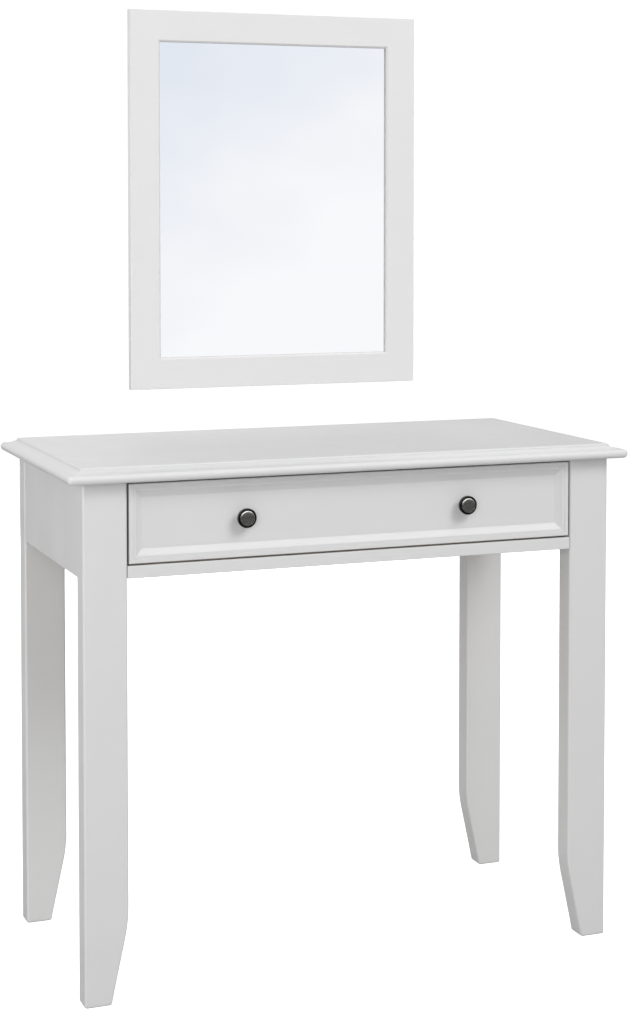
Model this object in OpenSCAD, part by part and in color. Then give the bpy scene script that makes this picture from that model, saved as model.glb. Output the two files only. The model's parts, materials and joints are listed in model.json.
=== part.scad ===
// Vanity table with one drawer on roller runners, and a framed mirror that
// hangs on two wall clips behind it. Millimetres. +Z up, the drawer faces -Y.
// The origin is on the floor under the middle of the tabletop; the wall plane
// is level with the tabletop's back edge.

/* [Table] */
// Width of the tabletop
table_w = 872; // [760:1:1100]
// Depth of the tabletop
table_d = 444; // [400:1:560]
// Height of the tabletop's upper face
table_h = 760; // [600:1:920]

/* [Tabletop] */
// Thickness of the tabletop
top_t = 21; // [18:0.5:30]
// Overhang past the legs at each side
over_side = 25; // [18:1:60]
// Overhang past the legs at the front
over_front = 22; // [18:1:60]
// Overhang past the legs at the back
over_back = 26; // [18:1:60]
// Width of the moulded edge, from its outermost line to the flat face
edge_w = 25; // [20:0.5:32]
// Radius of the bullnose at the foot of the edge
nose_r = 6.5; // [5:0.1:6.5]
// Radius of the bead between the edge and the flat face
bead_r = 3; // [2:0.1:4]
// Radius of the tabletop's corners, seen from above
top_corner_r = 7; // [3:0.5:20]

/* [Legs] */
// Width of a leg, across the table
leg_w = 64; // [50:1:80]
// Thickness of a leg, front to back
leg_t = 35; // [32:1:60]
// How much narrower the leg is at the floor
foot_inset = 25; // [10:1:30]
// Height at which the taper starts
taper_h = 137; // [90:1:300]
// Length of the curve above and below the bend of the taper
taper_blend = 22; // [10:1:30]

/* [Aprons] */
// Height of the aprons
apron_h = 137; // [126:1:170]
// Thickness of the side and back aprons
apron_t = 18; // [14:0.5:24]
// Distance of the aprons behind the faces of the legs
apron_setback = 1; // [0.5:0.5:6]
// Height of the rail under the drawer
rail_h = 18; // [14:1:30]
// Front-to-back size of the rails under and over the drawer
rail_d = 45; // [40:1:60]
// Thickness of the rail over the drawer box
kicker_t = 16; // [12:1:20]
// Height of the battens that carry the runners
batten_h = 50; // [46:1:56]
// Side of the triangular corner blocks
block_w = 38; // [30:1:39]
// Gap between the battens and the corner blocks
block_gap = 2; // [1:0.5:4]

/* [Drawer] */
// Gap beside and under the drawer front
drawer_gap = 2.5; // [1.5:0.1:4]
// Gap over the drawer front
drawer_top_gap = 4; // [2:0.5:5]
// Thickness of the drawer front
front_t = 19; // [18:0.5:24]
// Width of the flat margin round the drawer front
margin_w = 6; // [4:0.5:15]
// Depth of each of the two small steps beside the margin
step_t = 1; // [0.8:0.1:1.8]
// Width of the flat fillet between the two steps
fillet_w = 3.5; // [3:0.5:8]
// Width of the hollow between the second step and the panel
hollow_w = 8; // [4:0.5:12]
// Depth of the flat panel behind the margin
panel_recess = 7; // [5:0.5:7]
// Thickness of the drawer box's boards
board_t = 12; // [10:0.5:15]
// Height of the drawer box
box_h = 80; // [70:1:84]
// Depth of the drawer box
box_d = 330; // [310:1:350]
// Thickness of the drawer bottom
bottom_t = 4; // [3:0.5:6]
// Depth of the grooves that hold the drawer bottom
groove_d = 6; // [4:0.5:7]
// Height of the grooves above the lower edge of the box
groove_z = 10; // [8:1:14]

/* [Knobs] */
// Distance of each knob from the middle of the drawer
knob_x = 173; // [120:1:220]
// Diameter of a knob's head
knob_d = 28; // [22:0.5:36]
// Diameter of a knob's foot
knob_foot_d = 16; // [12:0.5:20]
// How far a knob stands out of the panel
knob_out = 18; // [18:0.5:24]

/* [Runners] */
// Length of the runners
runner_l = 300; // [280:5:310]
// How far the drawer pulls out
travel = 220; // [150:5:220]
// Space for a runner at each side of the drawer box
runner_w = 12.5; // [12.5:0.1:13]
// Thickness of the runners' sheet steel
sheet_t = 1.2; // [1:0.1:1.5]
// Diameter of the rollers
roller_d = 20; // [18:0.5:21]
// Diameter of the rollers' axles
axle_d = 5; // [4:0.5:6]

/* [Mirror] */
// Width of the mirror frame
mirror_w = 492; // [400:1:600]
// Height of the mirror frame
mirror_h = 606; // [480:1:760]
// Gap between the tabletop and the mirror
mirror_gap = 68; // [20:1:160]
// Distance of the mirror's middle to the right of the table's middle
mirror_offset = 19; // [-30:1:30]
// Width of the frame's face
frame_w = 50; // [45:1:70]
// Thickness of the mirror frame
frame_t = 15; // [15:0.5:24]
// Depth of the glass behind the frame's face
lip_t = 7; // [5:0.5:7]
// Width of the frame's lip over the glass
lip_w = 8; // [6:0.5:12]
// Thickness of the mirror glass
glass_t = 4; // [3:0.5:5]
// Gap between the mirror frame and the wall
wall_gap = 4; // [4:0.5:5]
// Distance between the two wall clips
clip_x = 300; // [240:1:330]

/* [Hidden] */

eps = 0.01;
white = [0.93, 0.93, 0.92];
birch = [0.86, 0.76, 0.60];
steel = [0.72, 0.73, 0.75];
pewter = [0.28, 0.27, 0.26];

// Levels and faces of the table
under_z = table_h - top_t;
leg_x = table_w / 2 - over_side;
leg_in_x = leg_x - leg_w;
front_y = over_front - table_d / 2;
back_y = table_d / 2 - over_back;
wall_y = table_d / 2;
apron_z = under_z - apron_h;
rail_top_z = apron_z + rail_h;
apron_out_x = leg_x - apron_setback;
apron_in_x = apron_out_x - apron_t;
batten_t = apron_in_x - leg_in_x;
batten_y0 = front_y + leg_t;
batten_y1 = back_y - leg_t;
batten_top_z = rail_top_z + batten_h;
kicker_gap = 1;
kicker_y = front_y + front_t + kicker_gap;

// Tabletop edge
cove_rise = top_t - bead_r - 2 * nose_r;
cove_w = edge_w - bead_r - nose_r;

// Share of the drawer front's hollow that is curved and not straight
hollow_curve = 0.3;

// Wood screws and dowels
screw_d = 4;
screw_head_d = 8;
screw_head_h = 2;
pilot_gap = 0.05;
pass_gap = 0.25;
dowel_d = 8;
dowel_l = 30;
dowel_gap = 0.1;
dowel_end_gap = 1;
side_dowel_in = 30;
back_dowel_in = 45;
rail_dowel_in = 10;
rail_dowel_y = [front_y + rail_dowel_in, front_y + leg_t - rail_dowel_in];
tip_gap = 1;
top_bite = 10;
block_screw_l = 34;
kicker_screw_l = kicker_t + top_bite;
batten_screw_l = batten_t / 2 + 11;
batten_screw_drop = 10;
batten_screw_y = [for (f = [0.15, 0.5, 0.85]) batten_y0 + (batten_y1 - batten_y0) * f];
head_room = 0.5;
block_hole = block_w / 3;
kicker_screw_x = 200;

// Drawer box
drawer_front_w = 2 * (leg_in_x - drawer_gap);
drawer_front_z0 = rail_top_z + drawer_gap;
drawer_front_z1 = under_z - drawer_top_gap;
drawer_front_h = drawer_front_z1 - drawer_front_z0;
knob_z = (drawer_front_z0 + drawer_front_z1) / 2;
box_x = leg_in_x - runner_w;
box_in_x = box_x - board_t;
box_y0 = front_y + front_t;
box_y1 = box_y0 + box_d;
bottom_gap = 0.1;
bottom_edge_gap = 0.5;
panel_y = front_y + panel_recess;
box_screw_l = 33;
front_screw_l = board_t + 10;
front_screw_x = [for (f = [0.18, 0.45]) drawer_front_w * f];
knob_screw_bite = 9;
knob_screw_l = board_t + front_t - panel_recess + knob_screw_bite;
knob_foot_r = knob_foot_d / 2;
knob_foot_h = 2;
knob_foot_round = 0.5;
knob_waist_r = knob_foot_r * 0.62;
knob_waist_z = 7.5;
knob_waist_round = 5;
knob_head_r = knob_d / 2;
knob_head_z = knob_out - 8;
knob_rim_r = 1.5;
knob_rim_h = 3;
knob_dome = [[knob_head_r - 3, knob_out - 1.6], [knob_head_r * 0.55, knob_out - 0.4], [0, knob_out]];

// Runners: q is the distance inwards from the inner faces of the legs
runner_lift = 4;
runner_z = rail_top_z + runner_lift;
box_lift = 4;
box_z = runner_z + box_lift;
box_screw_z = [box_z + 35, box_z + 65];
roll_gap = 0.3;
channel_w = runner_w - sheet_t - roll_gap;
runner_head_h = 1.5;
roller_gap = 0.5;
roller_q0 = sheet_t + runner_head_h + roller_gap;
roller_w = runner_w - 2 * roller_q0;
axle_gap = 0.05;
axle_proud = 0.2;
axle_z = runner_z + sheet_t + roll_gap + roller_d / 2;
cabinet_axle_lift = 0.5;
cabinet_axle_z = axle_z + cabinet_axle_lift;
tread_z = cabinet_axle_z + roller_d / 2 + roll_gap;
channel_gap = 2.5;
runner_front_gap = 2;
drawer_runner_gap = 0.5;
channel_h = tread_z + sheet_t + channel_gap + sheet_t - runner_z;
cabinet_runner_y = box_y0 + runner_front_gap;
drawer_runner_y = box_y0 + drawer_runner_gap;
roller_inset = 12;
cabinet_axle_y = cabinet_runner_y + roller_inset;
drawer_axle_y = drawer_runner_y + runner_l - roller_inset;
runner_foot_w = 10;
stop_h = 4;
stop_reach = axle_z - runner_z - sheet_t - stop_h;
stop_chord = sqrt(roller_d * roller_d / 4 - stop_reach * stop_reach);
stop_y = drawer_axle_y - travel - stop_chord - 0.5 - sheet_t;
runner_screw_l = 13;
drawer_screw_l = 8;
drawer_screw_z = box_z + 8;
cabinet_screw_y = [for (f = [50, 150, 260]) cabinet_runner_y + f];
drawer_screw_y = [for (f = [30, 140, 240]) drawer_runner_y + f];
runner_screw_z = runner_z + channel_h / 2;

// Mirror
mirror_z0 = table_h + mirror_gap;
mirror_z1 = mirror_z0 + mirror_h;
mirror_in_w = mirror_w - 2 * frame_w;
mirror_in_h = mirror_h - 2 * frame_w;
frame_back_y = wall_y - wall_gap;
frame_front_y = frame_back_y - frame_t;
glass_edge_gap = 1;
glass_w = mirror_in_w + 2 * (lip_w - glass_edge_gap);
glass_h = mirror_in_h + 2 * (lip_w - glass_edge_gap);
backing_t = frame_t - lip_t - glass_t;
button_t = 1;
button_w = 10;
button_l = 22;
button_hole = 7;
button_screw_l = 8;
button_screw_d = 3;
button_head_d = 6;
button_z = [for (f = [-0.36, 0, 0.36]) mirror_in_h * f];
hanger_screw_l = 10;
low_head_h = 1;
clip_t = 1.2;
clip_w = 40;
clip_top = 8;
clip_plate_h = 26;
clip_seat_gap = 0.3;
lip_h = 12;
wall_lip_gap = 0.4;
wall_lip_y = frame_back_y + wall_lip_gap;
hanger_lip_y = wall_lip_y + clip_t + clip_seat_gap;
clip_seat_z = mirror_z1 - clip_top - clip_plate_h;
wall_lip_z1 = clip_seat_z - clip_seat_gap;
wall_lip_z0 = wall_lip_z1 - lip_h;
hanger_lip_short = 0.8;
hanger_lip_z0 = wall_lip_z0 + hanger_lip_short;
wall_plate_h = 30;
wall_hole_d = 4.5;
wall_hole_drop = 8;
wall_hole_pitch = 16;
wall_hole_z = [for (i = [0, 1]) wall_lip_z0 - wall_hole_drop - i * wall_hole_pitch];
hanger_screw_x = 12;
bumper_d = 12;
bumper_in = 25;

// Points on an arc
function arc(cx, cy, r, a0, a1, n) =
  [for (i = [0 : n]) let (a = a0 + (a1 - a0) * i / n) [cx + r * cos(a), cy + r * sin(a)]];

// The same points with their first value measured from the far side
function flipped(pts, w) = [for (i = [len(pts) - 1 : -1 : 0]) [w - pts[i][0], pts[i][1]]];

// Half of the tabletop's section: bullnose, rising cove and bead
function edge_half() = concat(
  arc(nose_r, nose_r, nose_r, 270, 90, 12),
  [for (i = [1 : 5]) let (f = i / 5) [nose_r + cove_w * f, 2 * nose_r + cove_rise * f * f]],
  [for (p = arc(edge_w, top_t - bead_r, bead_r, 180, 90, 4)) if (p[0] > edge_w - bead_r) p]
);

// Half of the drawer front's recess: two steps, a hollow and a last step
function recess_half() = let (
  v1 = margin_w + 1,
  v2 = v1 + fillet_w,
  v3 = v2 + 1,
  v4 = v3 + hollow_w,
  d2 = 2 * step_t,
  d4 = panel_recess - 1
) concat(
  [[margin_w, -1], [margin_w, 0.3], [v1, step_t], [v2, step_t], [v3, d2]],
  [for (i = [1 : 5]) let (f = i / 5)
      [v3 + hollow_w * f, d2 + (d4 - d2) * f * (1 + hollow_curve * (1 - f))]],
  [[v4 + 0.5, panel_recess]]
);

// Outline of a leg, measured inwards from its outer face
taper_a = atan(foot_inset / (taper_h - taper_blend));
taper_r = taper_blend / tan(taper_a / 2);
function leg_outline() = concat(
  [[0, 0], [leg_w - foot_inset, 0]],
  arc(leg_w - taper_r, taper_h, taper_r, -taper_a, 0, 8),
  [[leg_w, under_z], [0, under_z]]
);

// Places one child at each side, with the right-hand one as it is drawn
module at_side(s) {
  mirror([s < 0 ? 1 : 0, 0, 0]) children();
}

module both_sides() {
  children();
  mirror([1, 0, 0]) children();
}

// A box given by its lowest and highest corners
module block(p, q) {
  translate(p) cube(q - p);
}

// Screws and their holes. The head's underside is at the origin; the shank runs along -Z.
module screw(l, d = screw_d, head_d = screw_head_d, head_h = screw_head_h) {
  cylinder(h = head_h, d = head_d, $fn = 32);
  translate([0, 0, -l]) cylinder(h = l + eps, d = d, $fn = 24);
}

module screw_hole(l, gap, d = screw_d) {
  translate([0, 0, -l]) cylinder(h = l + eps, d = d + 2 * gap, $fn = 24);
}

module point_out() {
  rotate([0, 90, 0]) children();
}

module point_back() {
  rotate([-90, 0, 0]) children();
}

// Dowels of the under-frame. The gap is nothing for the dowels and more for their holes.
module dowel(gap, end_gap) {
  cylinder(h = dowel_l + 2 * end_gap, d = dowel_d + 2 * gap, center = true, $fn = 32);
}

module side_apron_dowels(gap = 0, end_gap = 0) {
  for (y = [batten_y0, batten_y1], z = [apron_z + side_dowel_in, under_z - side_dowel_in])
    translate([apron_out_x - apron_t / 2, y, z]) point_back() dowel(gap, end_gap);
}

module back_apron_dowels(gap = 0, end_gap = 0) {
  for (z = [apron_z + back_dowel_in, under_z - back_dowel_in])
    translate([leg_in_x, back_y - apron_setback - apron_t / 2, z])
      point_out() dowel(gap, end_gap);
}

module rail_dowels(gap = 0, end_gap = 0) {
  for (y = rail_dowel_y)
    translate([leg_in_x, y, apron_z + rail_h / 2]) point_out() dowel(gap, end_gap);
}

module kicker_dowels(gap = 0, end_gap = 0) {
  translate([leg_in_x, (kicker_y + front_y + leg_t) / 2, under_z - kicker_t / 2])
    point_out() dowel(gap, end_gap);
}

module frame_dowel_set(gap = 0, end_gap = 0) {
  side_apron_dowels(gap, end_gap);
  back_apron_dowels(gap, end_gap);
  rail_dowels(gap, end_gap);
  kicker_dowels(gap, end_gap);
}

module frame_dowel_holes() {
  frame_dowel_set(dowel_gap, dowel_end_gap);
}

// Screws that hold the tabletop, pointing up
module kicker_screw_places() {
  translate([kicker_screw_x, kicker_y + rail_d / 2, under_z - kicker_t])
    mirror([0, 0, 1]) children();
}

module block_screw_places() {
  for (y = [batten_y0 + block_hole, batten_y1 - block_hole])
    translate([apron_in_x - block_hole, y, under_z + top_bite - block_screw_l])
      mirror([0, 0, 1]) children();
}

module batten_screw_places() {
  for (y = batten_screw_y)
    translate([leg_in_x + batten_t / 2, y, batten_top_z - batten_screw_drop])
      rotate([0, -90, 0]) children();
}

module top_outline() {
  x = table_w / 2 - top_corner_r;
  y = table_d / 2 - top_corner_r;
  polygon(concat(
    arc(x, y, top_corner_r, 0, 90, 6),
    arc(-x, y, top_corner_r, 90, 180, 6),
    arc(-x, -y, top_corner_r, 180, 270, 6),
    arc(x, -y, top_corner_r, 270, 360, 6)
  ));
}

module edge_section(w) {
  translate([-w / 2, 0]) polygon(concat(edge_half(), flipped(edge_half(), w)));
}

module top_panel() {
  color(white) difference() {
    translate([0, 0, under_z]) intersection() {
      rotate([90, 0, 90])
        linear_extrude(height = table_w, center = true) edge_section(table_d);
      rotate([90, 0, 0])
        linear_extrude(height = table_d, center = true) edge_section(table_w);
      linear_extrude(height = top_t) top_outline();
    }
    both_sides() {
      kicker_screw_places() screw_hole(kicker_screw_l + tip_gap, pilot_gap);
      block_screw_places() screw_hole(block_screw_l + tip_gap, pilot_gap);
    }
  }
}

module leg(s, front) {
  y1 = front ? front_y + leg_t : back_y;
  color(white) at_side(s) difference() {
    translate([leg_x, y1, 0]) mirror([1, 0, 0]) rotate([90, 0, 0])
      linear_extrude(height = leg_t) polygon(leg_outline());
    frame_dowel_holes();
    cabinet_screw_places() screw_hole(runner_screw_l + tip_gap, pilot_gap);
  }
}

module leg_front_left() { leg(-1, true); }
module leg_front_right() { leg(1, true); }
module leg_back_left() { leg(-1, false); }
module leg_back_right() { leg(1, false); }

module side_apron(s) {
  color(white) at_side(s) difference() {
    block([apron_in_x, batten_y0, apron_z], [apron_out_x, batten_y1, under_z]);
    frame_dowel_holes();
    batten_screw_places() screw_hole(batten_screw_l + tip_gap, pilot_gap);
  }
}

module side_apron_left() { side_apron(-1); }
module side_apron_right() { side_apron(1); }

module back_apron() {
  y1 = back_y - apron_setback;
  color(white) difference() {
    block([-leg_in_x, y1 - apron_t, apron_z], [leg_in_x, y1, under_z]);
    both_sides() frame_dowel_holes();
  }
}

module lower_rail() {
  color(white) difference() {
    block([-leg_in_x, front_y, apron_z], [leg_in_x, front_y + rail_d, rail_top_z]);
    both_sides() frame_dowel_holes();
  }
}

module kicker_rail() {
  color(birch) difference() {
    block([-leg_in_x, kicker_y, under_z - kicker_t], [leg_in_x, kicker_y + rail_d, under_z]);
    both_sides() {
      frame_dowel_holes();
      kicker_screw_places() screw_hole(kicker_t, pass_gap);
    }
  }
}

module runner_batten(s) {
  color(birch) at_side(s) difference() {
    block([leg_in_x, batten_y0, rail_top_z], [apron_in_x, batten_y1, batten_top_z]);
    batten_screw_places() {
      screw_hole(batten_t, pass_gap);
      cylinder(h = batten_t, d = screw_head_d + 2 * head_room, $fn = 32);
    }
    cabinet_screw_places() screw_hole(runner_screw_l + tip_gap, pilot_gap);
  }
}

module runner_batten_left() { runner_batten(-1); }
module runner_batten_right() { runner_batten(1); }

module corner_block(s, front) {
  z0 = batten_top_z + block_gap;
  y = front ? batten_y0 : batten_y1;
  h = under_z - z0;
  color(birch) at_side(s) difference() {
    translate([apron_in_x, y, z0]) mirror([1, 0, 0]) mirror([0, front ? 0 : 1, 0])
      linear_extrude(height = h) polygon([[0, 0], [block_w, 0], [0, block_w]]);
    block_screw_places() {
      screw_hole(block_screw_l, pass_gap);
      cylinder(h = h, d = screw_head_d + 2 * head_room, $fn = 32);
    }
  }
}

module corner_block_front_left() { corner_block(-1, true); }
module corner_block_front_right() { corner_block(1, true); }
module corner_block_back_left() { corner_block(-1, false); }
module corner_block_back_right() { corner_block(1, false); }

module frame_dowels() {
  color(birch) both_sides() frame_dowel_set();
}

module top_screws() {
  color(steel) both_sides() {
    kicker_screw_places() screw(kicker_screw_l);
    block_screw_places() screw(block_screw_l);
  }
}

module batten_screws() {
  color(steel) both_sides() batten_screw_places() screw(batten_screw_l);
}

// Fixed half of a runner: a channel that is open towards the drawer
module cabinet_screw_places() {
  for (y = cabinet_screw_y)
    translate([leg_in_x - sheet_t, y, runner_screw_z]) rotate([0, -90, 0]) children();
}

module cabinet_runner(s) {
  y0 = cabinet_runner_y;
  y1 = y0 + runner_l;
  x = leg_in_x;
  color(steel) at_side(s) difference() {
    union() {
      block([x - sheet_t, y0, runner_z], [x, y1, runner_z + channel_h]);
      block([x - channel_w, y0, runner_z], [x, y1, runner_z + sheet_t]);
      block([x - channel_w, y0, runner_z + channel_h - sheet_t], [x, y1, runner_z + channel_h]);
      block([x - channel_w, stop_y, runner_z], [x - sheet_t, stop_y + sheet_t,
            runner_z + sheet_t + stop_h]);
    }
    cabinet_screw_places() screw_hole(sheet_t + eps, pass_gap);
    translate([x, cabinet_axle_y, cabinet_axle_z]) point_out()
      cylinder(h = 4 * sheet_t, d = axle_d, center = true, $fn = 32);
  }
}

module cabinet_runner_left() { cabinet_runner(-1); }
module cabinet_runner_right() { cabinet_runner(1); }

module cabinet_runner_screws() {
  color(steel) both_sides() cabinet_screw_places()
    screw(runner_screw_l, head_h = runner_head_h);
}

module cabinet_axles() {
  l = roller_q0 + roller_w + axle_proud;
  color(steel) both_sides() translate([leg_in_x - l, cabinet_axle_y, cabinet_axle_z])
    point_out() cylinder(h = l, d = axle_d, $fn = 32);
}

module roller(s, y, z) {
  color([0.94, 0.94, 0.92]) at_side(s)
    translate([leg_in_x - roller_q0 - roller_w, y, z]) point_out()
      difference() {
        cylinder(h = roller_w, d = roller_d, $fn = 64);
        translate([0, 0, -1])
          cylinder(h = roller_w + 2, d = axle_d + 2 * axle_gap, $fn = 32);
      }
}

module cabinet_roller_left() { roller(-1, cabinet_axle_y, cabinet_axle_z); }
module cabinet_roller_right() { roller(1, cabinet_axle_y, cabinet_axle_z); }

// Moving half of a runner: a foot under the drawer side, a web and a tread
module drawer_screw_places() {
  for (y = drawer_screw_y)
    translate([box_x + sheet_t, y, drawer_screw_z]) point_out() children();
}

module drawer_runner(s) {
  y0 = drawer_runner_y;
  y1 = y0 + runner_l;
  color(steel) at_side(s) difference() {
    union() {
      block([box_x, y0, box_z - sheet_t], [box_x + sheet_t, y1, tread_z + sheet_t]);
      block([box_x - runner_foot_w, y0, box_z - sheet_t], [box_x, y1, box_z]);
      block([box_x, y0, tread_z], [leg_in_x - roller_q0, y1, tread_z + sheet_t]);
    }
    drawer_screw_places() screw_hole(sheet_t + eps, pass_gap);
    translate([box_x, drawer_axle_y, axle_z]) point_out()
      cylinder(h = 4 * sheet_t, d = axle_d, center = true, $fn = 32);
  }
}

module drawer_runner_left() { drawer_runner(-1); }
module drawer_runner_right() { drawer_runner(1); }

module drawer_runner_screws() {
  color(steel) both_sides() drawer_screw_places()
    screw(drawer_screw_l, head_h = runner_head_h);
}

module drawer_axles() {
  color(steel) both_sides() translate([box_x, drawer_axle_y, axle_z])
    point_out() cylinder(h = runner_w - roller_q0, d = axle_d, $fn = 32);
}

module drawer_roller_left() { roller(-1, drawer_axle_y, axle_z); }
module drawer_roller_right() { roller(1, drawer_axle_y, axle_z); }

// Drawer
module recess_section(w) {
  translate([-w / 2, 0]) polygon(concat(recess_half(), flipped(recess_half(), w)));
}

module front_screw_places() {
  for (x = front_screw_x)
    translate([x, box_y0 + board_t, box_z + box_h / 2])
      point_back() children();
}

module knob_screw_places() {
  translate([knob_x, box_y0 + board_t, knob_z]) point_back() children();
}

module drawer_front() {
  color(white) difference() {
    block([-drawer_front_w / 2, front_y, drawer_front_z0],
          [drawer_front_w / 2, front_y + front_t, drawer_front_z1]);
    translate([0, front_y, knob_z]) intersection() {
      linear_extrude(height = drawer_front_h, center = true) recess_section(drawer_front_w);
      rotate([0, 90, 0]) linear_extrude(height = drawer_front_w, center = true)
        recess_section(drawer_front_h);
    }
    both_sides() {
      front_screw_places() screw_hole(front_screw_l + tip_gap, pilot_gap);
      knob_screw_places() screw_hole(board_t + front_t, pass_gap);
    }
  }
}

// Groove for the drawer bottom, round the inside of the box
module bottom_groove() {
  z0 = box_z + groove_z;
  block([-box_in_x - groove_d, box_y0 + board_t - groove_d, z0],
        [box_in_x + groove_d, box_y1 - board_t + groove_d, z0 + bottom_t + 2 * bottom_gap]);
}

module box_screw_places() {
  for (y = [box_y0 + board_t / 2, box_y1 - board_t / 2], z = box_screw_z)
    translate([box_x, y, z]) point_out() children();
}

module drawer_box_front() {
  color(birch) difference() {
    block([-box_in_x, box_y0, box_z], [box_in_x, box_y0 + board_t, box_z + box_h]);
    bottom_groove();
    both_sides() {
      box_screw_places() screw_hole(box_screw_l + tip_gap, pilot_gap);
      front_screw_places() screw_hole(board_t, pass_gap);
      knob_screw_places() screw_hole(board_t, pass_gap);
    }
  }
}

module drawer_side(s) {
  color(birch) at_side(s) difference() {
    block([box_in_x, box_y0, box_z], [box_x, box_y1, box_z + box_h]);
    bottom_groove();
    box_screw_places() screw_hole(board_t, pass_gap);
    drawer_screw_places() screw_hole(drawer_screw_l + tip_gap, pilot_gap);
  }
}

module drawer_side_left() { drawer_side(-1); }
module drawer_side_right() { drawer_side(1); }

module drawer_back() {
  color(birch) difference() {
    block([-box_in_x, box_y1 - board_t, box_z], [box_in_x, box_y1, box_z + box_h]);
    bottom_groove();
    both_sides() box_screw_places() screw_hole(box_screw_l + tip_gap, pilot_gap);
  }
}

module drawer_bottom() {
  e = groove_d - bottom_edge_gap;
  z0 = box_z + groove_z + bottom_gap;
  color(birch) block([-box_in_x - e, box_y0 + board_t - e, z0],
                     [box_in_x + e, box_y1 - board_t + e, z0 + bottom_t]);
}

module drawer_box_screws() {
  color(steel) both_sides() box_screw_places() screw(box_screw_l);
}

module drawer_front_screws() {
  color(steel) both_sides() front_screw_places() screw(front_screw_l);
}

// Knob: a turned foot, a waist and a head with a dished rim
module knob_section() {
  rim_x = knob_head_r - knob_rim_r;
  polygon(concat(
    [[0, 0], [knob_foot_r, 0], [knob_foot_r, knob_foot_h]],
    arc(knob_foot_r - knob_foot_round, knob_foot_h, knob_foot_round, 0, 90, 3),
    arc(knob_waist_r + knob_waist_round, knob_waist_z, knob_waist_round, 210, 150, 6),
    [[rim_x, knob_head_z]],
    arc(rim_x, knob_head_z + knob_rim_r, knob_rim_r, 300, 360, 4),
    [[knob_head_r, knob_head_z + knob_rim_h]],
    knob_dome
  ));
}

module knob(s) {
  color(pewter) at_side(s) translate([knob_x, panel_y, knob_z]) rotate([90, 0, 0])
    difference() {
      rotate_extrude($fn = 64) knob_section();
      translate([0, 0, -tip_gap])
        cylinder(h = knob_screw_bite + 2 * tip_gap, d = screw_d + 2 * pilot_gap, $fn = 24);
    }
}

module knob_left() { knob(-1); }
module knob_right() { knob(1); }

module knob_screws() {
  color(steel) both_sides() knob_screw_places() screw(knob_screw_l);
}

// Mirror. Each frame piece is mitred and has a rebate behind its lip.
module at_mirror() {
  translate([mirror_offset, 0, mirror_z0 + mirror_h / 2]) children();
}

module frame_rebate() {
  w = mirror_in_w + 2 * lip_w;
  h = mirror_in_h + 2 * lip_w;
  translate([-w / 2, frame_front_y + lip_t, -h / 2]) cube([w, frame_t, h]);
}

module frame_piece() {
  color(white) at_mirror() difference() {
    translate([0, frame_back_y, 0]) rotate([90, 0, 0])
      linear_extrude(height = frame_t) children();
    frame_rebate();
    button_places() screw_hole(button_screw_l, pilot_gap, button_screw_d);
    hanger_screw_places() screw_hole(hanger_screw_l, pilot_gap);
  }
}

module stile_outline() {
  w = mirror_w / 2;
  h = mirror_h / 2;
  polygon([[w, -h], [w, h], [w - frame_w, h - frame_w], [w - frame_w, frame_w - h]]);
}

module rail_outline() {
  w = mirror_w / 2;
  h = mirror_h / 2;
  polygon([[w, h], [-w, h], [frame_w - w, h - frame_w], [w - frame_w, h - frame_w]]);
}

module mirror_stile_left() { frame_piece() mirror([1, 0]) stile_outline(); }
module mirror_stile_right() { frame_piece() stile_outline(); }
module mirror_rail_top() { frame_piece() rail_outline(); }
module mirror_rail_bottom() { frame_piece() mirror([0, 1]) rail_outline(); }

module mirror_glass() {
  y0 = frame_front_y + lip_t;
  color([0.85, 0.9, 0.95]) at_mirror()
    block([-glass_w / 2, y0, -glass_h / 2], [glass_w / 2, y0 + glass_t, glass_h / 2]);
}

module mirror_backing() {
  color([0.55, 0.42, 0.30]) at_mirror()
    block([-glass_w / 2, frame_back_y - backing_t, -glass_h / 2],
          [glass_w / 2, frame_back_y, glass_h / 2]);
}

// Turn buttons that hold the backing in the rebate, screwed to the stiles
module button_places() {
  for (s = [-1, 1], z = button_z)
    translate([s * (glass_w / 2 + button_hole), frame_back_y, z])
      rotate([0, 0, s > 0 ? 0 : 180]) rotate([s > 0 ? -90 : 90, 0, 0]) children();
}

module backing_clips() {
  color(steel) at_mirror() button_places() difference() {
    translate([button_hole - button_l, -button_w / 2, 0]) cube([button_l, button_w, button_t]);
    translate([0, 0, -button_t])
      cylinder(h = 3 * button_t, d = button_screw_d + 2 * pass_gap, $fn = 24);
  }
}

module backing_clip_screws() {
  color(steel) at_mirror() button_places() translate([0, 0, button_t])
    screw(button_screw_l, button_screw_d, button_head_d, low_head_h);
}

// Interlocking clips: the mirror's hooks drop behind the lips of the wall's
module hanger_screw_places() {
  for (s = [-1, 1], t = [-1, 1])
    translate([s * clip_x / 2 + t * hanger_screw_x, frame_back_y,
               mirror_h / 2 - clip_top - clip_plate_h / 2])
      point_back() children();
}

module hanger_section() {
  polygon([
    [frame_back_y, clip_seat_z], [hanger_lip_y, clip_seat_z], [hanger_lip_y, hanger_lip_z0],
    [hanger_lip_y + clip_t, hanger_lip_z0], [hanger_lip_y + clip_t, clip_seat_z + clip_t],
    [frame_back_y + clip_t, clip_seat_z + clip_t],
    [frame_back_y + clip_t, clip_seat_z + clip_plate_h],
    [frame_back_y, clip_seat_z + clip_plate_h]
  ]);
}

module wall_section() {
  polygon([
    [wall_y, wall_lip_z0 - wall_plate_h], [wall_y, wall_lip_z0],
    [wall_lip_y + clip_t, wall_lip_z0], [wall_lip_y + clip_t, wall_lip_z1],
    [wall_lip_y, wall_lip_z1], [wall_lip_y, wall_lip_z0 - clip_t],
    [wall_y - clip_t, wall_lip_z0 - clip_t], [wall_y - clip_t, wall_lip_z0 - wall_plate_h]
  ]);
}

module clip_strip(s) {
  translate([mirror_offset + s * clip_x / 2, 0, 0]) rotate([90, 0, 90])
    linear_extrude(height = clip_w, center = true) children();
}

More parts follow.
